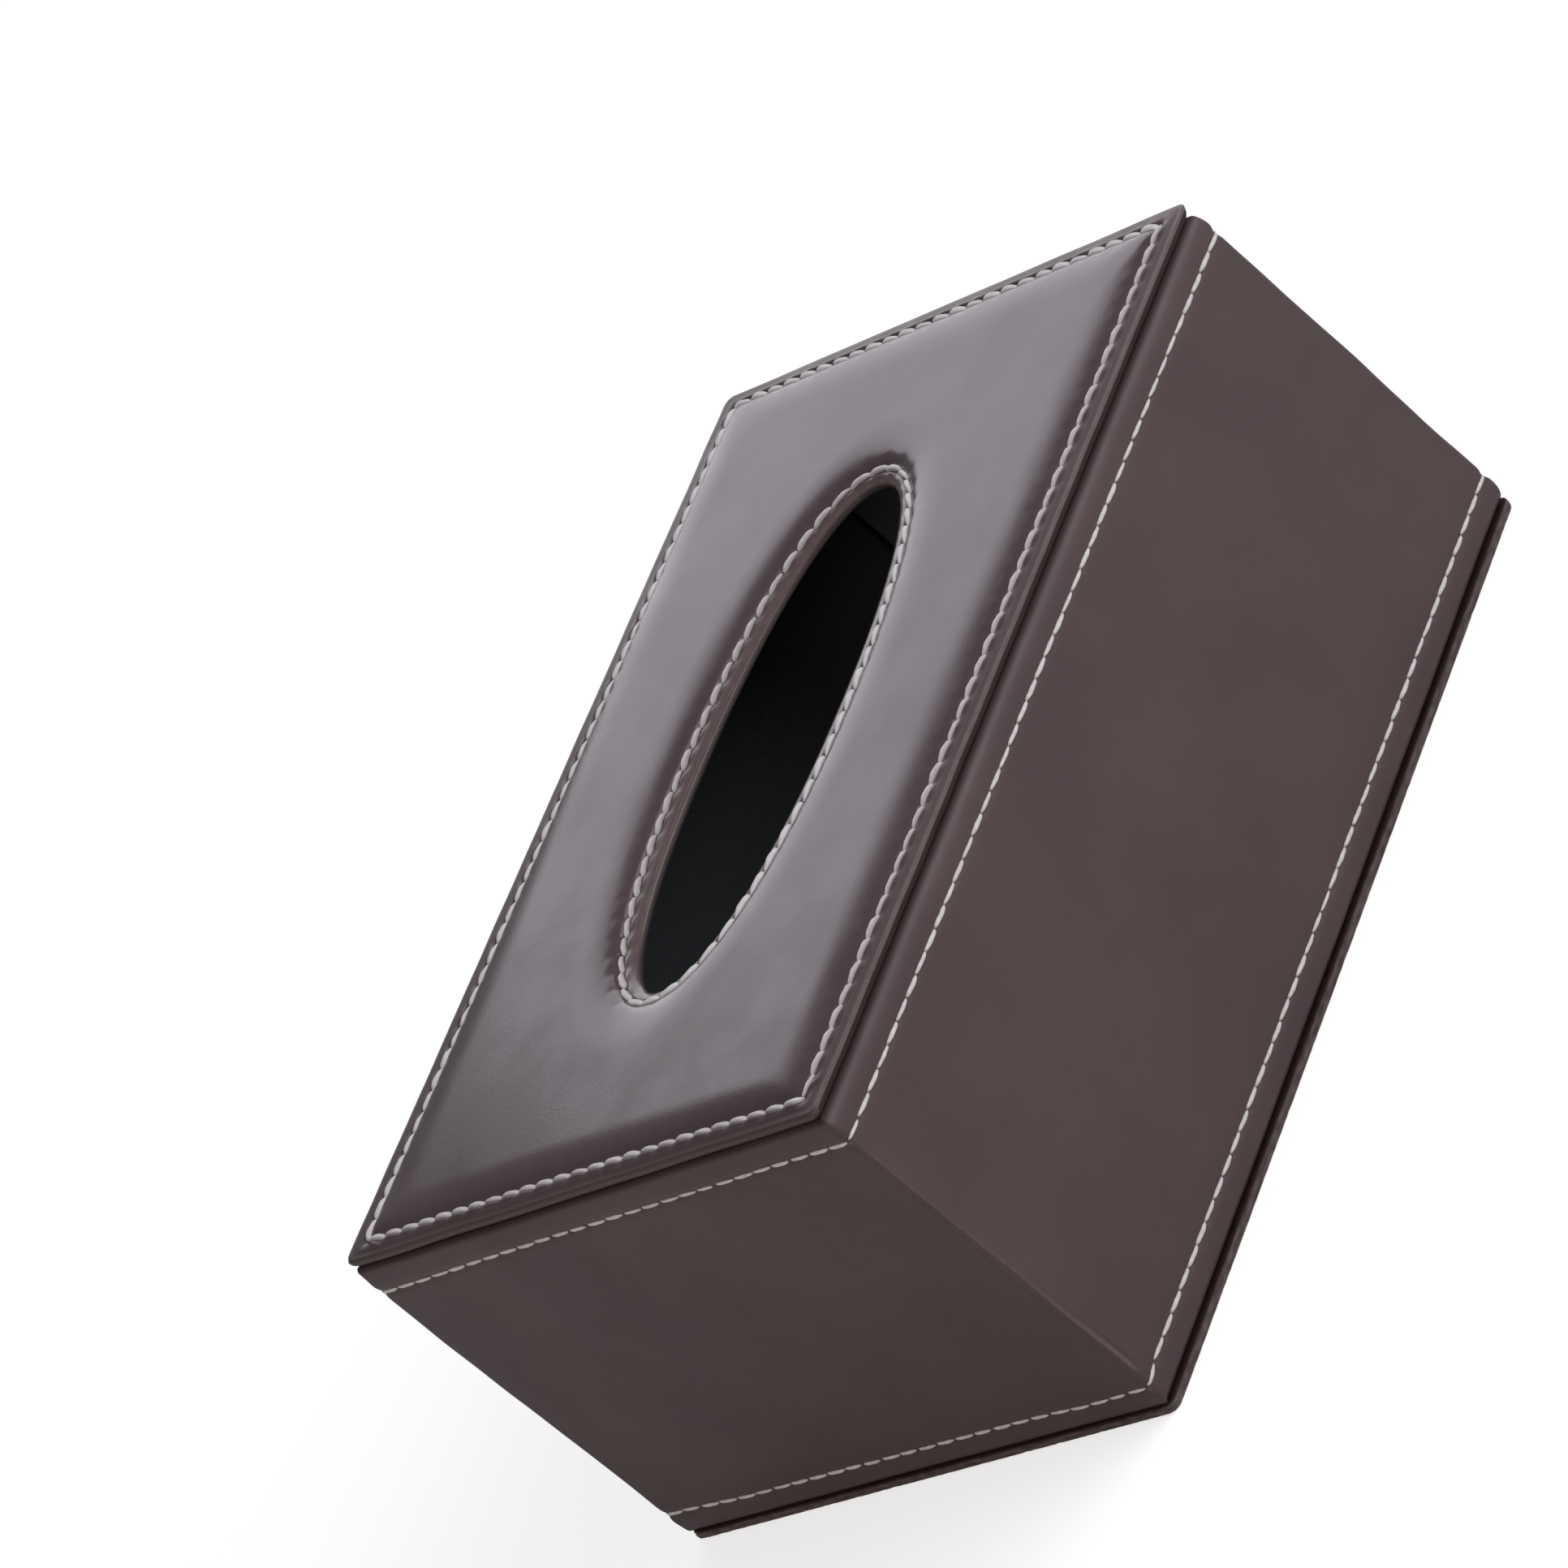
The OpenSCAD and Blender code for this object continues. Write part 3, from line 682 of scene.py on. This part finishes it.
def sewn(xy, line, holes, seed, puff):
    """Heights that one row of stitches gives to the leather, as soft dents and puffs beside the row."""
    rng = np.random.default_rng(seed)
    count = len(holes)
    at, _, side = line.at(holes)
    middle = (holes + np.append(holes[1:], holes[0] + line.length)) / 2
    mid, _, _ = line.at(middle)
    at, side, mid = (v[:, :2] for v in (at, side, mid))
    # For each kind: its place and how far that lies to the side, its height and the spread of that, and its
    # sizes across the row and along it
    kinds = (
        (at, -0.2, -0.5 * puff, (0.6, 1.4), (0.85, 0.7)),  # needle hole
        (at, 1.4, -0.1 * puff, (0.2, 1.8), (1.0, 0.9)),  # pinch of the rim beside a hole
        (mid, 1.0, puff, (0.8, 1.2), (0.9, 2.5)),  # puff of the rim beside a stitch
        (mid, -1.9, 0.05, (0.5, 1.5), (1.2, 1.8)),  # swell of the crown beside a stitch
        (at, -1.7, -0.04, (0.1, 1.8), (1.4, 1.0)),  # pinch of the crown beside a hole
    )
    height = 0
    for centre, shift, size, (least, most), (long_r, short_r) in kinds:
        sizes = size * rng.uniform(least, most, count)
        height = height + dent(xy, centre + side * shift, side, sizes, long_r, short_r)
    return height


# How many rows make up the lip of the mouth
LIP_ROWS = 16


def sway_side(rows, side):
    """Moves the side's rows in plan and gives their insets. Along the left-hand end the lip over the groove is
    smaller and the ridge lies further in, and all round the side sways a little."""
    inset = HALF - np.abs(rows[..., :2])
    z = rows[..., 2]
    lip = side & (z < RIDGE_Z - 0.1) & (z > PANEL_LOW + 0.01)
    bulge = 0.45 * lip * np.clip(inset.min(-1) - 0.3, 0, 3)
    bulge += side * (0.22 * bell(z - RIDGE_Z + 1.0, 0.6) - 0.28 * bell(z - RIDGE_Z - 0.05, 0.3))
    rows[..., :2] += columns.normal * (bulge * LEFT_END)[..., None]
    sway = 0.10 * ripple(rows[..., 0], rows[..., 1], 23, 17)
    rows[..., :2] -= columns.normal * (sway * side * (z > PANEL_LOW + 0.1))[..., None]
    return inset.min(-1)


def make_top():
    rows, soft = top_rows()
    last = len(soft)
    shown = rows[:last].reshape(-1, 3)
    xy = shown[:, :2]
    height = sewn(xy, edge_line, edge_holes, 3, 0.48) + sewn(xy, mouth_line, mouth_holes, 5, 0.2)
    height += 0.02 * ripple(xy[:, 0], xy[:, 1], 34, 11) - pillow(xy)
    level = shown[:, 2] + height * np.repeat(soft, columns.count)
    shown[:, 2] = np.maximum(level, np.minimum(shown[:, 2], TOP_BOARD_HIGH + 0.12))
    rows[:last] = shown.reshape(rows[:last].shape)

    index = np.arange(len(rows))[:, None]
    side = index < np.argmin(np.abs(RIM_SIDE[:, 0] - 3.0) + (RIM_SIDE[:, 1] < RIDGE_Z))
    inset = sway_side(rows, side)
    piece = add_skin("top_leather", rows, "cover", top_mat)

    z = rows[..., 2]
    # Paler: a painted highlight along the thin ridge over the groove, almost none along the left-hand end, and
    # a tan band on the mouth's lip
    ridge = bell(inset - 0.65, 0.6) * swell((z - RIDGE_Z + 0.5) / 0.4) * side * (1 - 0.9 * LEFT_END)
    lip = (index > last - LIP_ROWS) & (index < last)
    mark(piece, "wear_and_highlight", 0.95 * ridge + 0.6 * lip * bell(z - MOUTH_LOW + 0.25, 0.5))
    # Painted shade darkens the lip over the groove, the valley behind the ridge, and the inside of the mouth
    dark = RIDGE_Z - 0.12 - 1.5 * LEFT_END
    valley = bell(inset - 2.0, 0.7) * side * (z > RIDGE_Z)
    painted_shade = swell((dark - z) / 0.45) * side + 0.22 * valley
    mark(piece, "painted_shade", painted_shade + 0.8 * lip * swell((MOUTH_LOW - 0.7 - z) / 0.4))
    # The lip over the groove is as dull as the wall
    piece.data.materials.append(wall_mat)
    ridge_row = int(np.argmin(np.abs(RIM_SIDE[:, 1] - RIDGE_Z)))
    dull = np.arange(len(piece.data.polygons)) // columns.count < ridge_row
    piece.data.polygons.foreach_set("material_index", dull.astype(np.int32))
    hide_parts("top_skin", "top_pad")


# Facing round the mouth, which turns under the top board

def make_facing():
    bend = np.linspace(0, math.pi / 2, 5)
    r = 0.5
    path = [(0.3, MOUTH_END - 0.02), (0.12, MOUTH_END - 0.15), (0.06, PANEL_LOW + 0.9)]
    path += [(0.06 + r * (1 - math.cos(a)), PANEL_LOW + r * (1 - math.sin(a))) for a in bend]
    path += [(4.0, PANEL_LOW), (FACING - 0.3, PANEL_LOW), (FACING, PANEL_LOW + 0.3),
             (FACING, TOP_BOARD_LOW - SLIT), (1.2, TOP_BOARD_LOW - SLIT),
             (INSIDE, TOP_BOARD_LOW + 0.3), (INSIDE, MOUTH_END - SLIT)]
    path = np.array(path)
    rows = flat_rows(columns.mouth(path[:, 0]), path[:, 1])
    piece = add_skin("mouth_facing_leather", rows, "cover", facing_mat)
    mark(piece, "wear_and_highlight", np.zeros(rows.shape[:2]))
    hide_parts("mouth_facing")


# Wall leather: one strip round the boards, turned in above and below

def hole_gap(line, holes, s):
    """Distance along a line to the nearest needle hole."""
    order = np.sort(np.mod(holes, line.length))
    around = np.concatenate([[order[-1] - line.length], order, [order[0] + line.length]])
    k = np.searchsorted(around, s)
    return np.minimum(s - around[k - 1], around[k] - s)


def row_pull(z, s, level, line, holes, seed=None):
    """Depth that one row of stitches pulls the wall leather in. It is uneven if a seed is given."""
    gap = hole_gap(line, holes, s)
    uneven = 1 if seed is None else 1 + 0.15 * ripple(s, z, 40, seed)
    furrow = 0.26 * uneven * bell(z - level, 1.3)
    return furrow + 0.22 * bell(gap, 0.7) * bell(z - level, 0.85)


def steps(low, high, size):
    """Numbers between two limits, about size apart, without the limits themselves."""
    return np.linspace(low, high, max(2, round((high - low) / size)) + 1)[1:-1]


def wall_profile():
    """Insets and heights of the wall leather's section, and the numbers between which it is the outer face."""
    # Heights of the lips above and below, which are rounder than their depth
    tall, short = 4.2, 3.2
    inner = SKIN + BOARD
    bend = np.linspace(0, math.pi / 2, 14)
    hem = np.linspace(0, math.pi / 2, 5)
    path = [(inner + SKIN, WALL_LOW + WALL_HEM - 0.3), (inner + SKIN, WALL_LOW + 0.8)]
    path += [(inner + SKIN - 0.6 * (1 - math.cos(a)), WALL_LOW + 0.6 * (1 - math.sin(a))) for a in hem]
    path += [(2.9, WALL_LOW)]
    first = len(path)
    path += [(LIP_R * (1 - math.sin(a)), WALL_LOW + short * (1 - math.cos(a))) for a in bend]
    fine = np.concatenate([steps(WALL_LOW + short, LOW_ROW + 4, 0.3), [LOW_ROW + 4],
                           steps(LOW_ROW + 4, HIGH_ROW - 3, 1.3), [HIGH_ROW - 3],
                           steps(HIGH_ROW - 3, WALL_HIGH - tall, 0.3)])
    path += [(0.0, v) for v in fine]
    path += [(LIP_R * (1 - math.cos(a)), WALL_HIGH - tall * (1 - math.sin(a))) for a in bend]
    last = len(path)
    path += [(2.9, WALL_HIGH)]
    path += [(inner + SKIN - 0.6 * (1 - math.sin(a)), WALL_HIGH - 0.6 * (1 - math.cos(a))) for a in hem]
    path += [(inner + SKIN, WALL_HIGH - WALL_HEM + 0.3), (inner + SKIN - 0.3, WALL_HIGH - WALL_HEM)]
    path += [(inner + SLIT, WALL_HIGH - WALL_HEM), (inner + SLIT, BOARD_HIGH + SLIT)]
    round_over = [(SKIN + BOARD_ROUND * (1 - math.sin(a)) - SLIT * math.sin(a),
                   BOARD_HIGH - BOARD_ROUND * (1 - math.cos(a)) + SLIT * math.cos(a)) for a in hem]
    path += round_over
    path += [(x, BOARD_LOW + BOARD_HIGH - z) for x, z in round_over[::-1]]
    path += [(inner + SLIT, BOARD_LOW - SLIT), (inner + SLIT, WALL_LOW + WALL_HEM),
             (inner + SKIN - 0.3, WALL_LOW + WALL_HEM)]
    return np.array(path), first, last


def lap_ridge(xy, z):
    """Height of the lap seam that runs down the near corner, between the two stitch rows."""
    ends = swell((z - LOW_ROW - 2.0) / 3) * swell((HIGH_ROW - 2.5 - z) / 5)
    run = xy[..., 0] + HALF[0]
    side = xy[..., 1] + HALF[1]
    across = run - side
    low = swell((LOW_ROW + 40 - z) / 32)
    middle = 0.9 + 0.5 * low + 0.25 * ripple(z, 0 * z, 34, 31)
    wide = 0.30 + 0.30 * low
    ridge = (0.17 + 0.08 * low) * bell(across - middle, wide)
    crease = -0.09 * bell(across - middle + wide + 0.30, 0.28)
    crease -= 0.16 * low * bell(across - middle - wide - 0.35, 0.30)
    near = (np.abs(run) < 8) & (np.abs(side) < 8)
    return np.where(near, (ridge + crease) * ends, 0)


def make_wall():
    path, first, last = wall_profile()
    inset, z = (np.repeat(path[:, k:k + 1], columns.count, 1) for k in (0, 1))
    radius = np.clip(WALL_CORNER_R - path[:, 0], 0.6, None)
    plan = columns.edge(inset[:, 0], radius)
    outer = slice(first, last)
    face_z = z[outer]
    s = np.broadcast_to(high_line.s[:-1], face_z.shape)
    # The lips are smaller along the left-hand end
    inset[outer] *= 1 - 0.6 * LEFT_END
    pull = row_pull(face_z, s, high_level, high_line, high_holes, 21)
    pull += row_pull(face_z, s, low_level, low_line, low_holes, 22)
    band = bell(face_z - (high_level + 2.2), 1.6) + bell(face_z - (low_level - 2.4), 1.8)
    swelling = 0.12 * band + 0.10 * ripple(s, face_z * 1.4, 60, 23) + 0.05 * ripple(s, face_z, 19, 24)
    seam = lap_ridge(plan[outer], face_z)
    inset[outer] += pull - swelling - seam
    index = np.arange(len(path))[:, None]
    strip = (np.abs(plan[..., 0]) < STRIP_X + 0.2) & (plan[..., 1] > HALF[1] - 0.2 - path[:, :1])
    let_in = strip & (z < STRIP_HIGH + 0.2) & (index >= first) & (index < last)
    inset[let_in] = np.maximum(inset[let_in], LET_IN)
    rows = flat_rows(columns.wavy_edge(inset, radius), z)
    piece = add_skin("wall_leather_strip", rows, "cover", wall_mat)
    # Paler where the lap ridge stands proud: a painted highlight on it
    wear_and_highlight = np.zeros(inset.shape)
    wear_and_highlight[outer] = np.clip(seam * 2.5, 0, 0.6)
    mark(piece, "wear_and_highlight", wear_and_highlight)
    # Painted shade darkens both lips, in their grooves, and a little the foot of the wall
    painted_shade = np.maximum(swell((z - WALL_HIGH + 1.8) / 1.5), 0.9 * swell((WALL_LOW + 1.3 - z) / 0.9))
    mark(piece, "painted_shade", np.maximum(painted_shade, 0.12 * swell((WALL_LOW + 16 - z) / 10)))
    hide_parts("wall_skin")


# Flap leather: the base plate's cover, wrinkled along its edge and folded at its corners

def flap_profile():
    """Insets and heights of the flap leather's section, and the numbers at which its upper face, its edge, the
    lower half of its rim, its underside and its hidden side begin."""
    r = RIM_R
    bend = np.linspace(0, math.pi / 2, 8)
    hem_low = FLAP_BOARD_HIGH + SLIT
    path = [(FLAT_HEM, hem_low), (FLAT_HEM, FLAP_HIGH - 0.3), (FLAT_HEM - 0.3, FLAP_HIGH)]
    starts = [len(path)]
    path += [(d, FLAP_HIGH) for d in (9.0, 6.0, 4.0, 2.0)]
    starts.append(len(path))
    path += [(r * (1 - math.sin(a)), FLAP_HIGH - r * (1 - math.cos(a))) for a in bend]
    path += [(0.0, v) for v in np.linspace(FLAP_HIGH - r, r, 5)[1:-1]]
    starts.append(len(path))
    path += [(r * (1 - math.cos(a)), r * (1 - math.sin(a))) for a in bend]
    starts.append(len(path))
    under_insets = (2.0, 3.0, 4.5, 6.0, 8.0, 10.0, 12.0, 13.6, 14.0, 14.4, 18.0, 26.0, 40.0, 56.0, 72.0)
    path += [(d, 0.0) for d in under_insets]
    starts.append(len(path))
    path += [(under_insets[-1], INSIDE), (INSIDE, INSIDE), (INSIDE, hem_low)]
    return np.array(path), starts


def make_flap():
    path, (upper, edge, lower_rim, under, hidden) = flap_profile()
    # Number of the row where the wrinkles of the rim end, on the underside
    calm = under + 4
    inset, z = (np.repeat(path[:, k:k + 1], columns.count, 1) for k in (0, 1))
    radius = np.clip(CORNER_R - 0.3 * path[:, 0], 1.0, None)
    s = np.broadcast_to(high_line.s[:-1], inset.shape)
    k = np.arange(len(path))[:, None]
    plan = columns.edge(inset[:, 0], radius)
    fold = bell(path[:, 0], 3.0)[:, None] * ((k >= upper) & (k < calm))
    corner = np.zeros(columns.count)
    for c in columns.corners:
        gap = np.abs(s[0] - s[0][c])
        corner += bell(np.minimum(gap, high_line.length - gap), 4.5)
    wrinkle = 0.10 * ripple(s, 3 * z, 7, 41) + 0.06 * ripple(s, 5 * z, 3.1, 42)
    tuck = 0.22 * corner * np.cos(2.3 * (s - 1.3 * z)) * ripple(s, z, 5, 43)
    inset += fold * (np.abs(wrinkle) - 0.02 + np.abs(tuck))
    z += np.where((k >= upper) & (k <= edge), -0.10 * np.abs(ripple(s, inset, 9, 44)), 0)

    # Room for the hinge strip, in the underside and in the back edge
    strip = swell((STRIP_X + 0.3 - np.abs(plan[..., 0])) / 0.3) * swell((plan[..., 1] - STRIP_IN + 0.3) / 0.3)
    z = np.where((k >= under) & (k < hidden), z + LET_IN * strip, z)
    back = (k >= edge + 3) & (k < calm) & (plan[..., 1] > HALF[1] - 2) & (np.abs(plan[..., 0]) < STRIP_X + 0.2)
    inset[back] = np.maximum(inset[back], LET_IN)
    z = np.where(back, np.maximum(z, LET_IN), z)

    # The section is open between the two inmost rows, where two flat faces cover the middle of the flap
    rows = flat_rows(columns.wavy_edge(inset, radius), z)
    piece = add_skin("flap_leather", rows, "flap", plate_mat, gap=hidden - 1)
    # Paler round the rim, mottled and most at the folded corners: wear and a painted highlight
    wear_and_highlight = np.clip(fold * (0.35 + 0.5 * ripple(s, 3 * z, 6, 45)) + 0.4 * fold * corner, 0, 0.9)
    mark(piece, "wear_and_highlight", wear_and_highlight)
    # Painted shade darkens the flap's upper rim, in the groove under the wall
    mark(piece, "painted_shade", swell((z - FLAP_HIGH + 0.75) / 0.6) * (k < lower_rim))
    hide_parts("flap_skin")


# Hinge strip, let in flush with the back wall and with the flap's back edge and underside

def make_strip():
    r = RIM_R
    back = HALF[1]
    bend = np.linspace(0, math.pi / 2, 9)
    outer = [(y, 0.0) for y in np.linspace(STRIP_IN + 0.3, back - r, 14)[:-1]]
    outer += [(back - r + r * math.sin(a), r - r * math.cos(a)) for a in bend]
    outer += [(back, z) for z in np.concatenate([steps(r, 1.7, 0.3), np.arange(1.7, 3.85, 0.15),
                                                 np.arange(4.0, 7.6, 0.5), np.arange(7.8, 12.2, 0.3),
                                                 np.linspace(12.5, STRIP_HIGH - 0.3, 14)])]
    outer = np.array(outer)
    way = unit(np.gradient(outer, axis=0))
    inwards = np.stack([-way[:, 1], way[:, 0]], 1)
    xs = np.concatenate([[-STRIP_X + 0.1, -STRIP_X + 0.35], np.arange(-STRIP_X + 1, STRIP_X - 0.6, 0.6),
                         [STRIP_X - 0.35, STRIP_X - 0.1]])
    x, z = np.meshgrid(xs, outer[:, 1], indexing="ij")
    # The line of the lower row cuts the corner of the box by this much
    corner_cut = 0.62
    run = low_line.s[columns.corners[0]] + (HALF[0] - corner_cut) - x
    on_back = outer[:, 0] > back - 0.1
    pull = row_pull(z, run, LOW_ROW, low_line, low_holes) * on_back
    pull = np.minimum(pull, 0.45) + 0.01 * np.clip(1 + ripple(x, z, 25, 51), 0, None)
    low = outer[None] + inwards[None] * pull[..., None]
    # The strip thins towards its two ends
    edge = np.minimum(1, (STRIP_X - np.abs(xs)) / 0.4)[:, None, None]
    top = outer[None] + inwards[None] * STRIP_THICK
    low = top + (low - top) * (0.35 + 0.65 * edge)
    count = len(outer)
    ring = np.concatenate([low, top[:, ::-1] * np.ones((len(xs), 1, 1))], 1)
    rows = np.concatenate([np.broadcast_to(xs[:, None, None], ring.shape[:2] + (1,)), ring], -1)
    piece = add_skin("hinge_strip", rows, None, thin_mat, gap=len(xs) - 1)
    wear_and_highlight = np.zeros(ring.shape[:2])
    wear_and_highlight[:, :count] = 0.4 * bell(outer[:, 1] - (FLAP_HIGH + WALL_LOW) / 2, 0.8) * on_back
    mark(piece, "wear_and_highlight", wear_and_highlight)
    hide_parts("hinge_wall_leaf", "hinge_flap_leaf")
    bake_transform(piece)


# Linings: sheets of brushed cloth glued between the turned-in edges

# Air between a lining and the edge of its solid
LINING_GAP = 0.15


def make_lining(name, node, across):
    """A sheet in a solid's place, whose free face looks along the thin axis, or against it if across is -1."""
    low, high = node_box(node)
    size = high - low
    thin = int(np.argmin(size))
    a, b = [k for k in range(3) if k != thin]
    na, nb = max(2, round(size[a] / 3)), max(2, round(size[b] / 3))
    u, v = np.meshgrid(np.linspace(0, 1, na + 1), np.linspace(0, 1, nb + 1), indexing="ij")
    edge = np.minimum(np.minimum(u, 1 - u) * size[a], np.minimum(v, 1 - v) * size[b])
    lift = 0.55 + 0.35 * swell(edge / 2.0) + 0.08 * ripple(u * size[a], v * size[b], 30, 61)
    sides = []
    for top in (0, 1):
        grid = np.zeros(u.shape + (3,))
        for axis, share in ((a, u), (b, v)):
            grid[..., axis] = low[axis] + LINING_GAP + share * (size[axis] - 2 * LINING_GAP)
        start = low[thin] if across > 0 else high[thin]
        grid[..., thin] = start + across * (lift * top) * size[thin]
        sides.append(grid.reshape(-1, 3))
    number = np.arange((na + 1) * (nb + 1)).reshape(na + 1, nb + 1)
    corners = [number[:-1, :-1], number[1:, :-1], number[1:, 1:], number[:-1, 1:]]
    face = np.stack(corners, -1).reshape(-1, 4)
    rim = np.concatenate([number[:-1, 0], number[-1, :-1], number[:0:-1, -1], number[0, :0:-1]])
    after = np.roll(rim, -1)
    wall = np.stack([rim, rim + number.size, after + number.size, after], -1)
    points = np.concatenate(sides)
    quads = np.concatenate([face[:, ::-1], face + number.size, wall[:, ::-1]])
    if volume_of(points, quads) < 0:
        quads = quads[:, ::-1]
    body = "flap" if node.startswith("flap") else "cover"
    piece = add_mesh(name, points, quads.tolist(), body, lining_mat)
    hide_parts(node)


def make_top_lining():
    """The sheet under the top board, between its leather hem and the facing of the mouth."""
    low, high = node_box("top_lining")
    size = high - low
    face = low[2] + 0.1
    edge = np.array([(FLAT_HEM + LINING_GAP, high[2]), (FLAT_HEM + LINING_GAP, face + 0.15),
                     (FLAT_HEM + 0.6, face), (20.0, face), (28.0, face)])
    mouth = np.array([(16.0, face), (FACING + 0.6, face), (FACING + LINING_GAP, face + 0.15),
                      (FACING + LINING_GAP, high[2])])
    rows = np.concatenate([flat_rows(columns.edge(edge[:, 0], 1.2), edge[:, 1]),
                           flat_rows(columns.mouth(mouth[:, 0]), mouth[:, 1])])
    piece = add_skin("top_lining_cloth", rows, "cover", lining_mat)
    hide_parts("top_lining")
    area = size[0] * size[1] - math.pi * (MOUTH + FACING).prod()


make_top()
make_facing()
make_wall()
make_flap()
make_strip()
make_top_lining()
for side, across in (("front", 1), ("back", -1), ("left", 1), ("right", -1)):
    make_lining(side + "_lining_cloth", side + "_lining", across)
make_lining("flap_lining_cloth", "flap_lining", 1)

# Shapes of the threads, as add_thread takes them
EDGE_THREAD = {"width": 1.85, "height": 1.3, "lift": 0.40, "lean": -0.32, "blunt": 1.0}
MOUTH_THREAD = {"width": 1.65, "height": 1.25, "lift": 0.40, "lean": -0.36, "blunt": 1.0}
WALL_THREAD = {"width": 1.02, "height": 0.75, "lift": 0.16, "lean": 0.08, "dive": 0.2, "tip": 0.5}
for name, line, holes, shape, seed in (
        ("top_edge_thread", edge_line, edge_holes, EDGE_THREAD, 71),
        ("mouth_thread", mouth_line, mouth_holes, MOUTH_THREAD, 72),
        ("wall_upper_thread", high_line, high_holes, WALL_THREAD, 73),
        ("wall_lower_thread", low_line, low_holes, WALL_THREAD, 74)):
    add_thread(name, line, holes, seed, **shape)

for material, names in (
        (board_mat, ("front_board", "back_board", "left_board", "right_board", "top_board", "flap_board")),
        (magnet_mat, ("wall_magnets",)),
        (sheet_steel_mat, ("flap_plates",))):
    for name in names:
        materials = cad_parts[name].data.materials
        materials.clear()
        materials.append(material)


# Floor, light and camera

def stage_material(name, tone, glow):
    """Pale paper that the camera sees a little brighter than the lamps light it."""
    g = Graph(name)
    seen = g.add("ShaderNodeLightPath").outputs["Is Camera Ray"]
    g.set(g.shader.inputs["Emission Strength"], g.math("MULTIPLY", seen, glow))
    g.shader.inputs["Emission Color"].default_value = (1, 1, 1, 1)
    grain = g.ramp(g.noise(40.0, 2.0), 0.3, 0.7, 0.985, 1.0)
    color = g.mix(grain, [v * 0.9 for v in tone], tone)
    return g.finish(color, 0.9, None, Specular_IOR_Level=0.1)


floor_mesh = bpy.data.meshes.new("floor")
floor_mesh.from_pydata([(-9, -9, 0), (9, -9, 0), (9, 9, 0), (-9, 9, 0)], [], [(0, 1, 2, 3)])
floor_mesh.materials.append(stage_material("floor_paper", (0.82, 0.82, 0.82), 0.62))
floor = add_object("floor", floor_mesh)


LAMP_DISTANCE = 2.4
LAMP_AIM = Vector((0, 0, 0.06))


def add_lamp(name, azimuth, elevation, size, power, tint):
    """A rectangular lamp that looks at the middle of the box, from a direction in degrees."""
    lamp = bpy.data.lights.new(name, "AREA")
    lamp.shape = "RECTANGLE"
    lamp.size, lamp.size_y = size
    lamp.energy = power
    lamp.color = tint
    piece = add_object(name, lamp)
    a, e = math.radians(azimuth), math.radians(elevation)
    way = Vector((math.cos(e) * math.cos(a), math.cos(e) * math.sin(a), math.sin(e)))
    piece.location = LAMP_AIM + way * LAMP_DISTANCE
    piece.rotation_euler = way.to_track_quat("Z", "Y").to_euler()


# A low panel behind the object, seen in the top's gloss, a wide key from the front, and a warmer fill from the
# left that lights the end
add_lamp("back_panel", 37.8, 17.5, (1.7, 1.5), 13.5, (0.935, 0.91, 1.0))
add_lamp("key_panel", -56, 27, (3.0, 2.0), 40.5, (0.98, 0.955, 0.98))
add_lamp("fill_panel", -158, 28, (1.2, 1.0), 12.8, (1.0, 0.91, 0.86))

# White surroundings, which look brighter to the camera than they light the object
WORLD_LIGHT = 0.18
WORLD_SEEN = 1.0
world = bpy.data.worlds.new("studio")
scene.world = world
world.use_nodes = True
tree = world.node_tree
back = tree.nodes["Background"]
path = tree.nodes.new("ShaderNodeLightPath")
level = tree.nodes.new("ShaderNodeMapRange")
tree.links.new(path.outputs["Is Camera Ray"], level.inputs["Value"])
level.inputs["To Min"].default_value = WORLD_LIGHT
level.inputs["To Max"].default_value = WORLD_SEEN
tree.links.new(level.outputs["Result"], back.inputs["Strength"])
back.inputs["Color"].default_value = (1, 1, 1, 1)

# The camera that was fitted to the photo: its place in metres, its direction, its turn about that, and its lens
CAMERA_PLACE = Vector((-0.91784, -1.23312, 0.80268))
CAMERA_WAY = Vector((0.53923, 0.73072, -0.41867))
CAMERA_ROLL = math.radians(-49.93)
CAMERA_LENS = 185.96

camera_data = bpy.data.cameras.new("camera")
camera_data.lens = CAMERA_LENS
camera_data.sensor_width = 36
camera_data.sensor_fit = "HORIZONTAL"
camera_data.clip_end = 100
camera = add_object("camera", camera_data)
facing = CAMERA_WAY.to_track_quat("-Z", "Y").to_matrix().to_4x4()
camera.matrix_world = Matrix.Translation(CAMERA_PLACE) @ facing @ Matrix.Rotation(CAMERA_ROLL, 4, "Z")
scene.camera = camera
scene.view_settings.view_transform = "Standard"
